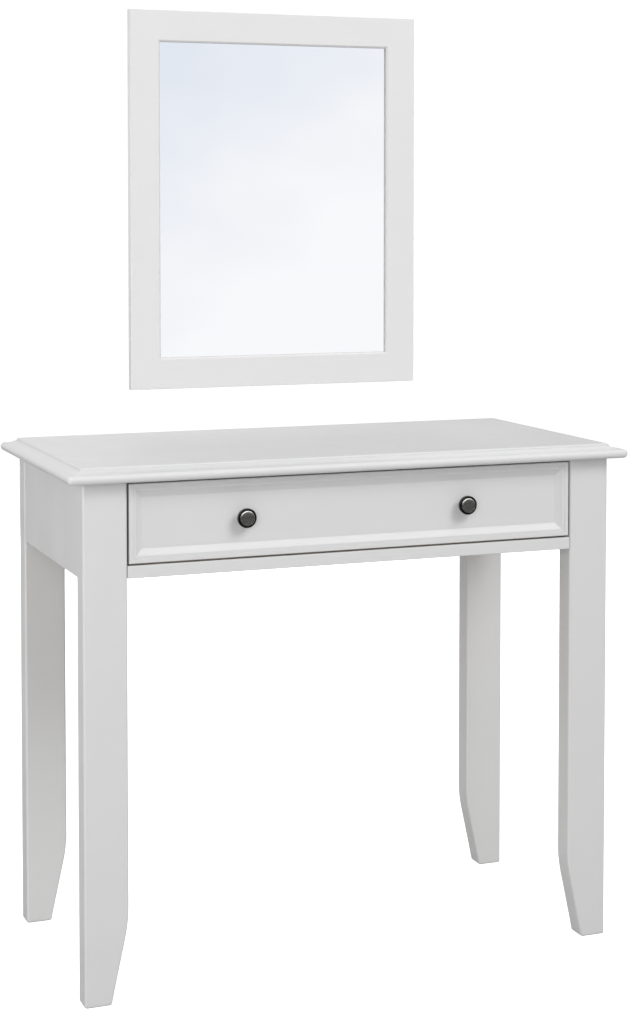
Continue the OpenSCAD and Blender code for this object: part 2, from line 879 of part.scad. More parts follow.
module hanger_plates() {
  color(steel) difference() {
    for (s = [-1, 1]) clip_strip(s) hanger_section();
    at_mirror() hanger_screw_places()
      cylinder(h = 4 * clip_t, d = screw_d + 2 * pass_gap, center = true, $fn = 24);
  }
}

module hanger_screws() {
  color(steel) at_mirror() hanger_screw_places() translate([0, 0, clip_t])
    screw(hanger_screw_l, head_h = low_head_h);
}

module wall_clips() {
  color(steel) difference() {
    for (s = [-1, 1]) clip_strip(s) wall_section();
    for (s = [-1, 1], z = wall_hole_z)
      translate([mirror_offset + s * clip_x / 2, wall_y, z]) point_back()
        cylinder(h = 4 * clip_t, d = wall_hole_d, center = true, $fn = 32);
  }
}

// Felt pads that keep the foot of the mirror off the wall
module mirror_bumpers() {
  color([0.5, 0.5, 0.48]) for (s = [-1, 1])
    translate([mirror_offset + s * (mirror_w / 2 - bumper_in), frame_back_y,
               mirror_z0 + bumper_in])
      point_back() cylinder(h = wall_gap, d = bumper_d, $fn = 32);
}

top_panel();
leg_front_left();
leg_front_right();
leg_back_left();
leg_back_right();
side_apron_left();
side_apron_right();
back_apron();
lower_rail();
kicker_rail();
runner_batten_left();
runner_batten_right();
corner_block_front_left();
corner_block_front_right();
corner_block_back_left();
corner_block_back_right();
frame_dowels();
top_screws();
batten_screws();
cabinet_runner_left();
cabinet_runner_right();
cabinet_runner_screws();
cabinet_axles();
cabinet_roller_left();
cabinet_roller_right();
drawer_front();
drawer_box_front();
drawer_side_left();
drawer_side_right();
drawer_back();
drawer_bottom();
drawer_box_screws();
drawer_front_screws();
knob_left();
knob_right();
knob_screws();
drawer_runner_left();
drawer_runner_right();
drawer_runner_screws();
drawer_axles();
drawer_roller_left();
drawer_roller_right();
mirror_stile_left();
mirror_stile_right();
mirror_rail_top();
mirror_rail_bottom();
mirror_glass();
mirror_backing();
backing_clips();
backing_clip_screws();
hanger_plates();
hanger_screws();
mirror_bumpers();
wall_clips();
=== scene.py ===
import json
import math

import bmesh
import bpy
from mathutils import Matrix, Vector


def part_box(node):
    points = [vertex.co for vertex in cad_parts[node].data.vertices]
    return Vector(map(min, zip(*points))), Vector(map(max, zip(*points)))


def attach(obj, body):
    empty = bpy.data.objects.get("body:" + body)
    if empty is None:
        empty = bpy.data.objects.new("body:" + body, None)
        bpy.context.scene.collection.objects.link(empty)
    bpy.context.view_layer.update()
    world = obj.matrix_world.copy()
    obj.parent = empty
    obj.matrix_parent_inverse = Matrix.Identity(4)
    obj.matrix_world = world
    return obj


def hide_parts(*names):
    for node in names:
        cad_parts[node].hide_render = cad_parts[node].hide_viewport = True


# Vanity table with one drawer on roller runners, and a framed mirror hung on wall clips.
# Lengths are metres in the part's own frame: +Z up, the drawer faces -Y, and the origin is
# on the floor under the middle of the tabletop.

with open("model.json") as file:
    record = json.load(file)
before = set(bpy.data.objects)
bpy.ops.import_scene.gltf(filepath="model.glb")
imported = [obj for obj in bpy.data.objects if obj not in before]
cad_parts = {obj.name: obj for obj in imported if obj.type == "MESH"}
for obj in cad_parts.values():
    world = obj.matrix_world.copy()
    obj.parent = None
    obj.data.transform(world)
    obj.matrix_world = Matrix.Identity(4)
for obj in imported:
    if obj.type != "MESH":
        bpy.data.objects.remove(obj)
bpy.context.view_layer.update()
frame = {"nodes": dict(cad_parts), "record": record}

MM = 0.001
SHARP = math.radians(32)
SAME_POINT = 1e-6
SAME_CAD_POINT = 2e-6
RECORD = frame["record"]
BODY_OF = {n: body for body, names in RECORD["behaviour"]["bodies"].items() for n in names}

# How far the edges are eased
LEG_ROUND = 3.5 * MM
FOOT_ROUND = 1.8 * MM
BOARD_ROUND = 1.2 * MM
HIDDEN_ROUND = 0.8 * MM
BOX_ROUND = 0.9 * MM
SHEET_ROUND = 0.35 * MM
FITTING_ROUND = 0.3 * MM

# Tabletop edge: bullnose, rising cove, bead
NOSE_R = 6.5 * MM
BEAD_R = 3 * MM
EDGE_W = 25 * MM
TOP_CORNER_R = 7 * MM

# Leg taper: how far it goes in, where it ends, how long its soft bend is, where its rings lie
FOOT_INSET = 25 * MM
TAPER_Z = 137 * MM
TAPER_BLEND = 22 * MM
TAPER_RINGS = (10 * MM, 40 * MM, 75 * MM)
BEND_RINGS_Z = 95 * MM

# Drawer front moulding, from the margin inwards
MARGIN_W = 6 * MM
STEP_W = 1 * MM
STEP_DEPTH = 1 * MM
FILLET_W = 3.5 * MM
HOLLOW_W = 8 * MM
PANEL_RECESS = 7 * MM

# Mirror frame
FRAME_W = 50 * MM
LIP_W = 8 * MM
LIP_T = 7 * MM


# ---------------------------------------------------------------- mesh helpers

def joined(name, mesh):
    """An object for a mesh: doubles merged, faces outwards, smooth but for its sharp edges."""
    bm = bmesh.new()
    bm.from_mesh(mesh)
    bmesh.ops.remove_doubles(bm, verts=bm.verts, dist=SAME_POINT)
    bmesh.ops.dissolve_degenerate(bm, edges=bm.edges, dist=1e-7)
    bmesh.ops.recalc_face_normals(bm, faces=bm.faces)
    for face in bm.faces:
        face.smooth = True
    for edge in bm.edges:
        edge.smooth = len(edge.link_faces) == 2 and edge.calc_face_angle(0) < SHARP
    bm.to_mesh(mesh)
    bm.free()
    piece = bpy.data.objects.new(name, mesh)
    bpy.context.scene.collection.objects.link(piece)
    weigh = piece.modifiers.new("even_shading", "WEIGHTED_NORMAL")
    weigh.keep_sharp = True
    weigh.weight = 100
    return piece


def built(name, verts, faces):
    """An object from points and faces."""
    mesh = bpy.data.meshes.new(name)
    mesh.from_pydata([tuple(v) for v in verts], [], faces)
    return joined(name, mesh)


def skinned(name, rings, loop=False):
    """A solid whose surface runs through rings that have the same number of points."""
    n = len(rings[0])
    count = len(rings)
    faces = []
    for k in range(count if loop else count - 1):
        a, b = k * n, (k + 1) % count * n
        for i in range(n):
            j = (i + 1) % n
            faces.append((a + i, a + j, b + j, b + i))
    if not loop:
        faces.append(tuple(range(n))[::-1])
        faces.append(tuple(range((count - 1) * n, count * n)))
    return built(name, [p for r in rings for p in r], faces)


def round_rectangle(u0, u1, v0, v1, radius, steps):
    """Points of a rectangle with rounded corners, anticlockwise from its right side."""
    r = max(radius, 1e-6)
    corners = [(u1 - r, v1 - r, 0), (u0 + r, v1 - r, 90), (u0 + r, v0 + r, 180), (u1 - r, v0 + r, 270)]
    points = []
    for cu, cv, start in corners:
        for i in range(steps + 1):
            a = math.radians(start + 90 * i / steps)
            points.append((cu + r * math.cos(a), cv + r * math.sin(a)))
    return points


def arc(cu, cv, r, start, end, steps):
    """Points of an arc from one angle to another, in degrees."""
    angles = [math.radians(start + (end - start) * i / steps) for i in range(steps + 1)]
    return [(cu + r * math.cos(a), cv + r * math.sin(a)) for a in angles]


def turned(name, profile, centre, axis, steps=64, loop=False):
    """A turned piece: profile holds (radius, distance along the axis)."""
    along = Vector(axis).normalized()
    side = along.orthogonal().normalized()
    up = along.cross(side)
    rings = []
    for r, h in profile:
        ring = []
        for i in range(steps):
            a = 2 * math.pi * i / steps
            ring.append(Vector(centre) + along * h + (side * math.cos(a) + up * math.sin(a)) * max(r, 0))
        rings.append(ring)
    return skinned(name, rings, loop)


def eased(node, width, segments=3):
    """A copy of a CAD node with its triangles joined and its long sharp edges eased."""
    mesh = frame["nodes"][node].data
    bm = bmesh.new()
    bm.from_mesh(mesh)
    bmesh.ops.remove_doubles(bm, verts=bm.verts, dist=SAME_CAD_POINT)
    bmesh.ops.dissolve_limit(bm, angle_limit=math.radians(3), verts=bm.verts, edges=bm.edges)
    shortest = 2.2 * width
    edges = [e for e in bm.edges
             if len(e.link_faces) == 2 and e.calc_face_angle(0) > SHARP and e.calc_length() > shortest]
    bmesh.ops.bevel(bm, geom=edges, offset=width, segments=segments, profile=0.5,
                    affect="EDGES", clamp_overlap=True)
    eased_mesh = bpy.data.meshes.new(node + "_eased")
    bm.to_mesh(eased_mesh)
    bm.free()
    return joined(node + "_finished", eased_mesh)


def merged(name, pieces):
    """One object made of several."""
    bm = bmesh.new()
    for piece in pieces:
        bm.from_mesh(piece.data)
        bpy.data.objects.remove(piece)
    mesh = bpy.data.meshes.new(name)
    bm.to_mesh(mesh)
    bm.free()
    return joined(name, mesh)


def put(piece, material, *cad_nodes):
    """Gives a piece its finish and its body, and lets it stand for its CAD nodes."""
    if not piece.data.materials:
        piece.data.materials.append(material)
    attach(piece, BODY_OF[cad_nodes[0]])
    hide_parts(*cad_nodes)
    for name in cad_nodes:
        for holder in frame["nodes"][name].material_slots:
            holder.material = material
    return piece


# ---------------------------------------------------------------- shader groups

class Wiring:
    """Adds nodes to a tree and links them; inputs are given as values or as sockets.
    An input is named as on its node, or in0, in1 and so on for its place."""

    def __init__(self, tree):
        self.tree = tree

    def node(self, kind, settings=None, **inputs):
        made = self.tree.nodes.new(kind)
        for key, value in (settings or {}).items():
            setattr(made, key, value)
        for key, value in inputs.items():
            socket = self.socket(made, key.replace("_", " "))
            if isinstance(value, bpy.types.NodeSocket):
                self.tree.links.new(value, socket)
            else:
                socket.default_value = value
        return made

    @staticmethod
    def socket(node, name):
        if name.startswith("in") and name[2:].isdigit():
            return node.inputs[int(name[2:])]
        return node.inputs[name]

    def math(self, operation, a, b=0.0, clamp=False):
        made = self.node("ShaderNodeMath", {"operation": operation, "use_clamp": clamp}, in0=a, in1=b)
        return made.outputs[0]

    def vector(self, operation, a, b):
        made = self.node("ShaderNodeVectorMath", {"operation": operation}, in0=a, in1=b)
        return made.outputs["Value" if operation == "DOT_PRODUCT" else "Vector"]

    def noise(self, vector, scale, detail=3.0, rough=0.5, output="Fac"):
        made = self.node("ShaderNodeTexNoise", Vector=vector, Scale=scale, Detail=detail, Roughness=rough)
        return made.outputs[output]

    def ramp(self, value, low, high, to_low=0.0, to_high=1.0):
        made = self.node("ShaderNodeMapRange", {"clamp": True}, Value=value,
                         From_Min=low, From_Max=high, To_Min=to_low, To_Max=to_high)
        return made.outputs["Result"]

    def mix(self, factor, a, b, blend="MIX"):
        made = self.tree.nodes.new("ShaderNodeMix")
        made.data_type = "RGBA"
        made.blend_type = blend
        for index, value in ((0, factor), (6, a), (7, b)):
            if isinstance(value, bpy.types.NodeSocket):
                self.tree.links.new(value, made.inputs[index])
            elif index:
                made.inputs[index].default_value = (*value, 1.0)
            else:
                made.inputs[index].default_value = value
        return made.outputs[2]

    def combine(self, x=0.0, y=0.0, z=0.0):
        return self.node("ShaderNodeCombineXYZ", X=x, Y=y, Z=z).outputs[0]

    def group(self, tree, **inputs):
        return self.node("ShaderNodeGroup", {"node_tree": tree}, **inputs).outputs


def effect_group(name, inputs, outputs):
    """A shader node group with named sockets: (wiring, its inputs, its output node)."""
    tree = bpy.data.node_groups.new(name, "ShaderNodeTree")
    kinds = {"value": "NodeSocketFloat", "colour": "NodeSocketColor", "vector": "NodeSocketVector"}
    for label, kind in inputs:
        tree.interface.new_socket(label, in_out="INPUT", socket_type=kinds[kind])
    for label, kind in outputs:
        tree.interface.new_socket(label, in_out="OUTPUT", socket_type=kinds[kind])
    start = tree.nodes.new("NodeGroupInput")
    end = tree.nodes.new("NodeGroupOutput")
    return Wiring(tree), start.outputs, end.inputs


def brushed_coat_group():
    """Lacquer or powder coat: orange peel, faint strokes along one way, slow changes of tone."""
    w, given, out = effect_group(
        "brushed_coat",
        [("Vector", "vector"), ("Stroke", "vector"), ("Peel Scale", "value"), ("Peel", "value"),
         ("Strokes", "value"), ("Tone", "value")],
        [("Height", "value"), ("Tone", "value"), ("Gloss", "value")])
    along = w.vector("MULTIPLY", given["Vector"], given["Stroke"])
    peel = w.noise(given["Vector"], given["Peel Scale"], 2.0)
    strokes = w.noise(along, 900.0, 3.0, 0.6)
    height = w.math("ADD", w.math("MULTIPLY", peel, given["Peel"]),
                    w.math("MULTIPLY", strokes, given["Strokes"]))
    slow = w.math("SUBTRACT", w.noise(given["Vector"], 3.5, 2.0), 0.5)
    fine = w.math("SUBTRACT", w.noise(along, 260.0, 2.0), 0.5)
    tone = w.math("ADD", slow, w.math("MULTIPLY", fine, 0.35))
    w.tree.links.new(height, out["Height"])
    w.tree.links.new(w.math("ADD", 1.0, w.math("MULTIPLY", tone, given["Tone"])), out["Tone"])
    w.tree.links.new(w.ramp(w.noise(given["Vector"], 14.0, 4.0), 0.35, 0.65, -1.0, 1.0), out["Gloss"])
    return w.tree


def worn_edge_group():
    """Mask that is 1 on outer edges, broken up by noise, and 0 on flat faces."""
    w, given, out = effect_group(
        "worn_edge",
        [("Vector", "vector"), ("Radius", "value"), ("Amount", "value"), ("Break Scale", "value")],
        [("Mask", "value")])
    rounded = w.node("ShaderNodeBevel", {"samples": 4}, Radius=given["Radius"]).outputs[0]
    real = w.node("ShaderNodeNewGeometry").outputs["Normal"]
    bend = w.math("SUBTRACT", 1.0, w.vector("DOT_PRODUCT", rounded, real))
    edge = w.ramp(bend, 0.01, 0.22)
    broken = w.ramp(w.noise(given["Vector"], given["Break Scale"], 4.0, 0.65), 0.38, 0.62)
    mask = w.math("MULTIPLY", w.math("MULTIPLY", edge, broken), given["Amount"], clamp=True)
    w.tree.links.new(mask, out["Mask"])
    return w.tree


def seam_shade_group():
    """Mask of painted shade, read from ambient occlusion: 1 deep in gaps and faint in inside corners,
    where less light goes.
    """
    w, given, out = effect_group(
        "seam_shade", [("Distance", "value"), ("Amount", "value")], [("Mask", "value")])
    open_share = w.node("ShaderNodeAmbientOcclusion", {"samples": 6},
                        Distance=given["Distance"]).outputs["AO"]
    closed = w.math("SUBTRACT", 1.0, w.ramp(open_share, 0.2, 0.92))
    w.tree.links.new(w.math("MULTIPLY", closed, given["Amount"], clamp=True), out["Mask"])
    return w.tree


def settled_dust_group():
    """Thin dust that lies on faces turned upwards, thicker in soft patches."""
    w, given, out = effect_group(
        "settled_dust", [("Vector", "vector"), ("Amount", "value")], [("Mask", "value")])
    normal = w.node("ShaderNodeNewGeometry").outputs["Normal"]
    up = w.ramp(w.node("ShaderNodeSeparateXYZ", in0=normal).outputs["Z"], 0.5, 0.95)
    patches = w.ramp(w.noise(given["Vector"], 9.0, 4.0, 0.6), 0.3, 0.75)
    grains = w.ramp(w.noise(given["Vector"], 1400.0, 2.0), 0.45, 0.7)
    both = w.math("MULTIPLY", patches, w.math("ADD", 0.35, w.math("MULTIPLY", grains, 0.65)))
    mask = w.math("MULTIPLY", w.math("MULTIPLY", up, both), given["Amount"], clamp=True)
    w.tree.links.new(mask, out["Mask"])
    return w.tree


def wood_grain_group():
    """Growth rings and pores of a board whose length lies along the vector's X."""
    w, given, out = effect_group(
        "wood_grain",
        [("Vector", "vector"), ("Light", "colour"), ("Dark", "colour"), ("Ring Scale", "value"),
         ("Contrast", "value")],
        [("Color", "colour"), ("Height", "value"), ("Pores", "value")])
    stretched = w.vector("MULTIPLY", given["Vector"], (0.12, 1.0, 1.0))
    bent = w.noise(stretched, 7.0, 3.0, 0.5, "Color")
    warped = w.vector("ADD", stretched, w.vector("MULTIPLY", bent, (0.05, 0.05, 0.05)))
    rings = w.node("ShaderNodeTexWave", {"wave_type": "RINGS", "rings_direction": "X"},
                   Vector=warped, Scale=given["Ring Scale"], Distortion=2.2, Detail=3.0,
                   Detail_Scale=1.4).outputs["Fac"]
    fibre_way = w.vector("MULTIPLY", given["Vector"], (0.03, 1.0, 1.0))
    fibres = w.noise(fibre_way, 700.0, 3.0, 0.65)
    pores = w.ramp(w.noise(w.vector("MULTIPLY", given["Vector"], (0.06, 1.0, 1.0)), 1500.0, 1.0),
                   0.62, 0.72)
    shade = w.math("ADD", w.math("MULTIPLY", rings, 0.55), w.math("MULTIPLY", fibres, 0.45))
    shade = w.math("MULTIPLY", w.ramp(shade, 0.25, 0.8), given["Contrast"])
    shade = w.math("ADD", shade, w.math("MULTIPLY", pores, 0.25), clamp=True)
    w.tree.links.new(w.mix(shade, given["Light"], given["Dark"]), out["Color"])
    w.tree.links.new(w.math("SUBTRACT", fibres, pores), out["Height"])
    w.tree.links.new(pores, out["Pores"])
    return w.tree


def metal_skin_group():
    """Fine scratches and a slow change of gloss on plated or cast metal."""
    w, given, out = effect_group(
        "metal_skin",
        [("Vector", "vector"), ("Scratch Way", "vector"), ("Scratch Scale", "value"), ("Cast", "value")],
        [("Height", "value"), ("Gloss", "value"), ("Stain", "value")])
    along = w.vector("MULTIPLY", given["Vector"], given["Scratch Way"])
    scratches = w.noise(along, given["Scratch Scale"], 3.0, 0.7)
    cast = w.math("MULTIPLY", w.noise(given["Vector"], 900.0, 4.0, 0.6), given["Cast"])
    w.tree.links.new(w.math("ADD", w.math("MULTIPLY", scratches, 0.5), cast), out["Height"])
    w.tree.links.new(w.ramp(scratches, 0.35, 0.7, -1.0, 1.0), out["Gloss"])
    w.tree.links.new(w.ramp(w.noise(given["Vector"], 160.0, 5.0, 0.6), 0.4, 0.7), out["Stain"])
    return w.tree


COAT = brushed_coat_group()
WEAR = worn_edge_group()
DUST = settled_dust_group()
SEAM = seam_shade_group()
GRAIN = wood_grain_group()
METAL = metal_skin_group()


# ---------------------------------------------------------------- finishes

def finish_start(name, roughness, metallic=0.0):
    """A new material: (material, wiring, its shader, Object coordinates)."""
    material = bpy.data.materials.new(name)
    material.use_nodes = True
    w = Wiring(material.node_tree)
    shader = w.tree.nodes["Principled BSDF"]
    shader.inputs["Roughness"].default_value = roughness
    shader.inputs["Metallic"].default_value = metallic
    place = w.node("ShaderNodeTexCoord").outputs["Object"]
    return material, w, shader, place


def feed(w, shader, colour, roughness=None, height=None, bump=0.0, distance=0.0):
    """Links a finish's colour, roughness and relief to its shader."""
    w.tree.links.new(colour, shader.inputs["Base Color"])
    if roughness is not None:
        w.tree.links.new(roughness, shader.inputs["Roughness"])
    if height is not None:
        relief = w.node("ShaderNodeBump", Strength=bump, Distance=distance, Height=height)
        w.tree.links.new(relief.outputs[0], shader.inputs["Normal"])


def tinted(w, colour, tone):
    """A colour made lighter or darker by a tone near 1."""
    grey = w.combine(tone, tone, tone)
    return w.mix(1.0, colour, grey, "MULTIPLY")


def lacquer(name, colour, stroke, roughness=0.36, dust=0.0, painted_gap_shade=0.5):
    """White satin lacquer brushed along one way and rubbed at its edges, with painted shade darkening its
    gaps and inside corners.
    """
    material, w, shader, place = finish_start(name, roughness)
    coat = w.group(COAT, Vector=place, Stroke=stroke, Peel_Scale=420.0, Peel=0.8, Strokes=0.16,
                   Tone=0.035)
    worn = w.group(WEAR, Vector=place, Radius=1.2 * MM, Amount=0.5, Break_Scale=55.0)["Mask"]
    base = tinted(w, colour, coat["Tone"])
    rubbed = tuple(min(c * 1.06, 0.9) for c in colour)
    base = w.mix(worn, base, rubbed)
    gloss = w.math("ADD", roughness, w.math("MULTIPLY", coat["Gloss"], 0.035))
    if dust:
        dusty = w.group(DUST, Vector=place, Amount=dust)["Mask"]
        base = w.mix(dusty, base, (0.72, 0.71, 0.69))
        gloss = w.math("ADD", gloss, w.math("MULTIPLY", dusty, 0.3))
    # Painted shade: ambient occlusion masks darken gaps and inside corners towards 0.4 of the colour.
    gap = w.group(SEAM, Distance=5 * MM, Amount=painted_gap_shade)["Mask"]
    corner = w.group(SEAM, Distance=1.3 * MM, Amount=0.8 * painted_gap_shade)["Mask"]
    shade = tuple(0.4 * c for c in colour)
    base = w.mix(w.math("MAXIMUM", gap, corner), base, shade)
    gloss = w.math("SUBTRACT", gloss, w.math("MULTIPLY", worn, 0.05))
    feed(w, shader, base, gloss, coat["Height"], 0.05, 0.3 * MM)
    shader.inputs["Coat Roughness"].default_value = 0.2
    shader.inputs["Coat Weight"].default_value = 0.15
    return material


def bare_wood(name, turn, light, dark, ring_scale, contrast):
    """Unpainted sanded board; turn brings the board's length onto the grain's X."""
    roughness = 0.62
    material, w, shader, place = finish_start(name, roughness)
    way = w.node("ShaderNodeMapping", Vector=place, Rotation=turn).outputs[0]
    grain = w.group(GRAIN, Vector=way, Light=(*light, 1), Dark=(*dark, 1), Ring_Scale=ring_scale,
                    Contrast=contrast)
    gloss = w.math("ADD", roughness, w.math("MULTIPLY", grain["Pores"], 0.15))
    feed(w, shader, grain["Color"], gloss, grain["Height"], 0.25, 0.3 * MM)
    return material


def plated_steel(name, colour, roughness, way):
    """Bright zinc plate on steel, with fine scratches and dull stains."""
    material, w, shader, place = finish_start(name, roughness, 1.0)
    skin = w.group(METAL, Vector=place, Scratch_Way=way, Scratch_Scale=1800.0, Cast=0.1)
    dull = tuple(0.72 * c for c in colour)
    base = w.mix(w.math("MULTIPLY", skin["Stain"], 0.35), colour, dull)
    gloss = w.math("ADD", roughness, w.math("MULTIPLY", skin["Gloss"], 0.07))
    feed(w, shader, base, gloss, skin["Height"], 0.12, 0.1 * MM)
    return material


def powder_coat(name, colour):
    """White powder coat on sheet steel, worn through to the steel at its edges."""
    roughness = 0.42
    material, w, shader, place = finish_start(name, roughness)
    coat = w.group(COAT, Vector=place, Stroke=(1, 1, 1), Peel_Scale=1100.0, Peel=1.0, Strokes=0.0,
                   Tone=0.05)
    worn = w.group(WEAR, Vector=place, Radius=0.5 * MM, Amount=0.7, Break_Scale=300.0)["Mask"]
    base = w.mix(worn, tinted(w, colour, coat["Tone"]), (0.45, 0.46, 0.47))
    gloss = w.math("SUBTRACT", roughness, w.math("MULTIPLY", worn, 0.1))
    feed(w, shader, base, gloss, coat["Height"], 0.2, 0.2 * MM)
    return material


def antique_pewter(low, high):
    """Antique pewter of the knobs: a dark wash from the rim backwards, the dome rubbed brighter.
    The box is the right knob's, and the size of X brings the left one onto it."""
    roughness = 0.24
    material, w, shader, place = finish_start("antique_pewter", roughness, 1.0)
    skin = w.group(METAL, Vector=place, Scratch_Way=(1.0, 0.15, 1.0), Scratch_Scale=1500.0, Cast=0.6)
    parts = w.node("ShaderNodeSeparateXYZ", in0=place).outputs
    off_x = w.math("SUBTRACT", w.math("ABSOLUTE", parts["X"]), (low.x + high.x) / 2)
    off_z = w.math("SUBTRACT", parts["Z"], (low.z + high.z) / 2)
    away = w.math("SQRT", w.math("ADD", w.math("MULTIPLY", off_x, off_x),
                                 w.math("MULTIPLY", off_z, off_z)))
    ragged = w.math("ADD", away, w.ramp(w.noise(place, 500.0, 3.0), 0.3, 0.7, -0.3 * MM, 0.3 * MM))
    head_r = (high.x - low.x) / 2
    ring = w.ramp(ragged, head_r - 3.0 * MM, head_r - 2.4 * MM)
    hollow = w.node("ShaderNodeAmbientOcclusion", {"samples": 4}, Distance=4 * MM).outputs["AO"]
    dome = w.mix(skin["Stain"], (0.62, 0.61, 0.59), (0.48, 0.47, 0.455))
    wash = w.mix(skin["Stain"], (0.05, 0.0485, 0.046), (0.025, 0.0245, 0.0235))
    base = w.mix(ring, dome, wash)
    base = w.mix(w.ramp(hollow, 0.35, 0.95), (0.02, 0.02, 0.02), base)
    gloss = w.math("ADD", roughness, w.math("MULTIPLY", skin["Gloss"], 0.06))
    feed(w, shader, base, gloss, skin["Height"], 0.14, 0.2 * MM)
    return material


def silvered_glass(low, high):
    """Mirror glass whose colour carries a painted reflection: a cool blue tint that fades towards the
    lower right, with soft clouds.
    """
    material, w, shader, place = finish_start("silvered_glass", 0.002, 1.0)
    size = high - low
    # Painted reflection: the colour runs from cool blue at the upper left to near white at the lower
    # right, broken by soft clouds.
    spread = w.vector("SUBTRACT", place, tuple(low))
    parts = w.node("ShaderNodeSeparateXYZ", in0=spread).outputs
    across = w.math("DIVIDE", parts["X"], size.x)
    down = w.math("SUBTRACT", 1.0, w.math("DIVIDE", parts["Z"], size.z))
    painted_reflection_fade = w.math("ADD", w.math("MULTIPLY", down, 0.75), w.math("MULTIPLY", across, 0.4))
    flattened = w.vector("MULTIPLY", place, (1.0, 1.0, 1.6))
    painted_reflection_clouds = w.math("SUBTRACT", w.noise(flattened, 5.0, 2.0, 0.45), 0.5)
    painted_reflection_fade = w.math("ADD", painted_reflection_fade, w.math("MULTIPLY", painted_reflection_clouds, 0.5), clamp=True)
    base = w.mix(w.ramp(painted_reflection_fade, 0.05, 0.75), (0.725, 0.765, 0.838), (0.895, 0.9, 0.92))
    haze = w.ramp(w.noise(place, 30.0, 4.0), 0.3, 0.7, 0.0005, 0.003)
    feed(w, shader, base, haze)
    return material


def moulded_nylon():
    """White nylon, slightly see-through, with faint turning marks."""
    roughness = 0.35
    material, w, shader, place = finish_start("moulded_nylon", roughness)
    coat = w.group(COAT, Vector=place, Stroke=(0.1, 1, 1), Peel_Scale=1600.0, Peel=0.6, Strokes=0.4,
                   Tone=0.08)
    base = tinted(w, (0.86, 0.86, 0.82), coat["Tone"])
    gloss = w.math("ADD", roughness, w.math("MULTIPLY", coat["Gloss"], 0.06))
    feed(w, shader, base, gloss, coat["Height"], 0.15, 0.1 * MM)
    shader.inputs["Subsurface Weight"].default_value = 0.15
    shader.inputs["Subsurface Radius"].default_value = (0.002, 0.002, 0.0015)
    return material


def pressed_hardboard():
    """Brown hardboard with short dark and light fibres."""
    material, w, shader, place = finish_start("pressed_hardboard", 0.7)
    fibres = w.noise(w.vector("MULTIPLY", place, (1.0, 1.0, 0.35)), 900.0, 4.0, 0.7)
    clumps = w.noise(place, 60.0, 4.0, 0.6)
    shade = w.math("ADD", w.math("MULTIPLY", fibres, 0.7), w.math("MULTIPLY", clumps, 0.3))
    base = w.mix(w.ramp(shade, 0.35, 0.65), (0.22, 0.13, 0.075), (0.42, 0.28, 0.17))
    feed(w, shader, base, w.ramp(clumps, 0.3, 0.7, 0.55, 0.75), fibres, 0.3, 0.3 * MM)
    return material


def wool_felt():
    """Grey felt with tangled fibres."""
    material, w, shader, place = finish_start("wool_felt", 0.95)
    fibres = w.noise(place, 1500.0, 5.0, 0.75)
    tufts = w.noise(place, 350.0, 3.0, 0.6)
    base = w.mix(w.ramp(w.math("MULTIPLY", fibres, tufts), 0.12, 0.38), (0.16, 0.16, 0.155),
                 (0.42, 0.42, 0.41))
    feed(w, shader, base, None, fibres, 0.9, 0.6 * MM)
    shader.inputs["Sheen Weight"].default_value = 0.5
    shader.inputs["Sheen Roughness"].default_value = 0.6
    return material


WHITE = (0.66, 0.66, 0.66)
FRAME_WHITE = (0.755, 0.748, 0.748)
LACQUER_X = lacquer("white_lacquer_across", WHITE, (0.04, 1, 1))
LACQUER_Y = lacquer("white_lacquer_deep", WHITE, (1, 0.04, 1))
LACQUER_Z = lacquer("white_lacquer_upright", WHITE, (1, 1, 0.04))
LACQUER_TOP = lacquer("white_lacquer_tabletop", WHITE, (0.04, 1, 1), 0.34, dust=0.12)
# The mirror frame's lacquer has less painted shade in its gaps.
FRAME_X = lacquer("frame_lacquer_across", FRAME_WHITE, (0.04, 1, 1), 0.4, painted_gap_shade=0.2)
FRAME_Z = lacquer("frame_lacquer_upright", FRAME_WHITE, (1, 1, 0.04), 0.4, painted_gap_shade=0.2)
BIRCH_LIGHT = (0.78, 0.62, 0.42)
BIRCH_DARK = (0.60, 0.43, 0.26)
BIRCH_X = bare_wood("birch_across", (0, 0, 0), BIRCH_LIGHT, BIRCH_DARK, 9.0, 0.7)
BIRCH_Y = bare_wood("birch_deep", (0, 0, math.pi / 2), BIRCH_LIGHT, BIRCH_DARK, 9.0, 0.7)
BIRCH_Z = bare_wood("birch_upright", (0, math.pi / 2, 0), BIRCH_LIGHT, BIRCH_DARK, 9.0, 0.7)
PLYWOOD = bare_wood("birch_plywood", (0, 0, 0), (0.80, 0.66, 0.47), (0.68, 0.51, 0.33), 3.0, 0.6)
ZINC = plated_steel("zinc_plate", (0.70, 0.71, 0.73), 0.28, (1, 1, 0.1))
PIN_STEEL = plated_steel("axle_steel", (0.62, 0.63, 0.65), 0.2, (1, 0.1, 0.1))
RUNNER = powder_coat("runner_powder_coat", (0.80, 0.80, 0.79))
PEWTER = antique_pewter(*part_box("knob_right"))
GLASS = silvered_glass(*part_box("mirror_glass"))
NYLON = moulded_nylon()
HARDBOARD = pressed_hardboard()
FELT = wool_felt()


# ---------------------------------------------------------------- table

def tabletop():
    """Tabletop whose edge is a bullnose, a cove that rises and a bead round the flat face."""
    low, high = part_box("top_panel")
    t = high.z - low.z
    cove_w = EDGE_W - BEAD_R - NOSE_R
    cove_rise = t - BEAD_R - 2 * NOSE_R
    cove_steps = 12
    sharpest = 0.6 * MM
    profile = arc(NOSE_R, NOSE_R, NOSE_R, 270, 90, 28)
    for i in range(1, cove_steps + 1):
        f = i / cove_steps
        profile.append((NOSE_R + cove_w * f, 2 * NOSE_R + cove_rise * f * f))
    profile += arc(EDGE_W, t - BEAD_R, BEAD_R, 180, 90, 10)
    rings = []
    for inset, rise in profile:
        corner = max(TOP_CORNER_R - inset, sharpest)
        ring = round_rectangle(low.x + inset, high.x - inset, low.y + inset, high.y - inset, corner, 8)
        rings.append([(x, y, low.z + rise) for x, y in ring])
    return put(skinned("tabletop", rings), LACQUER_TOP, "top_panel")


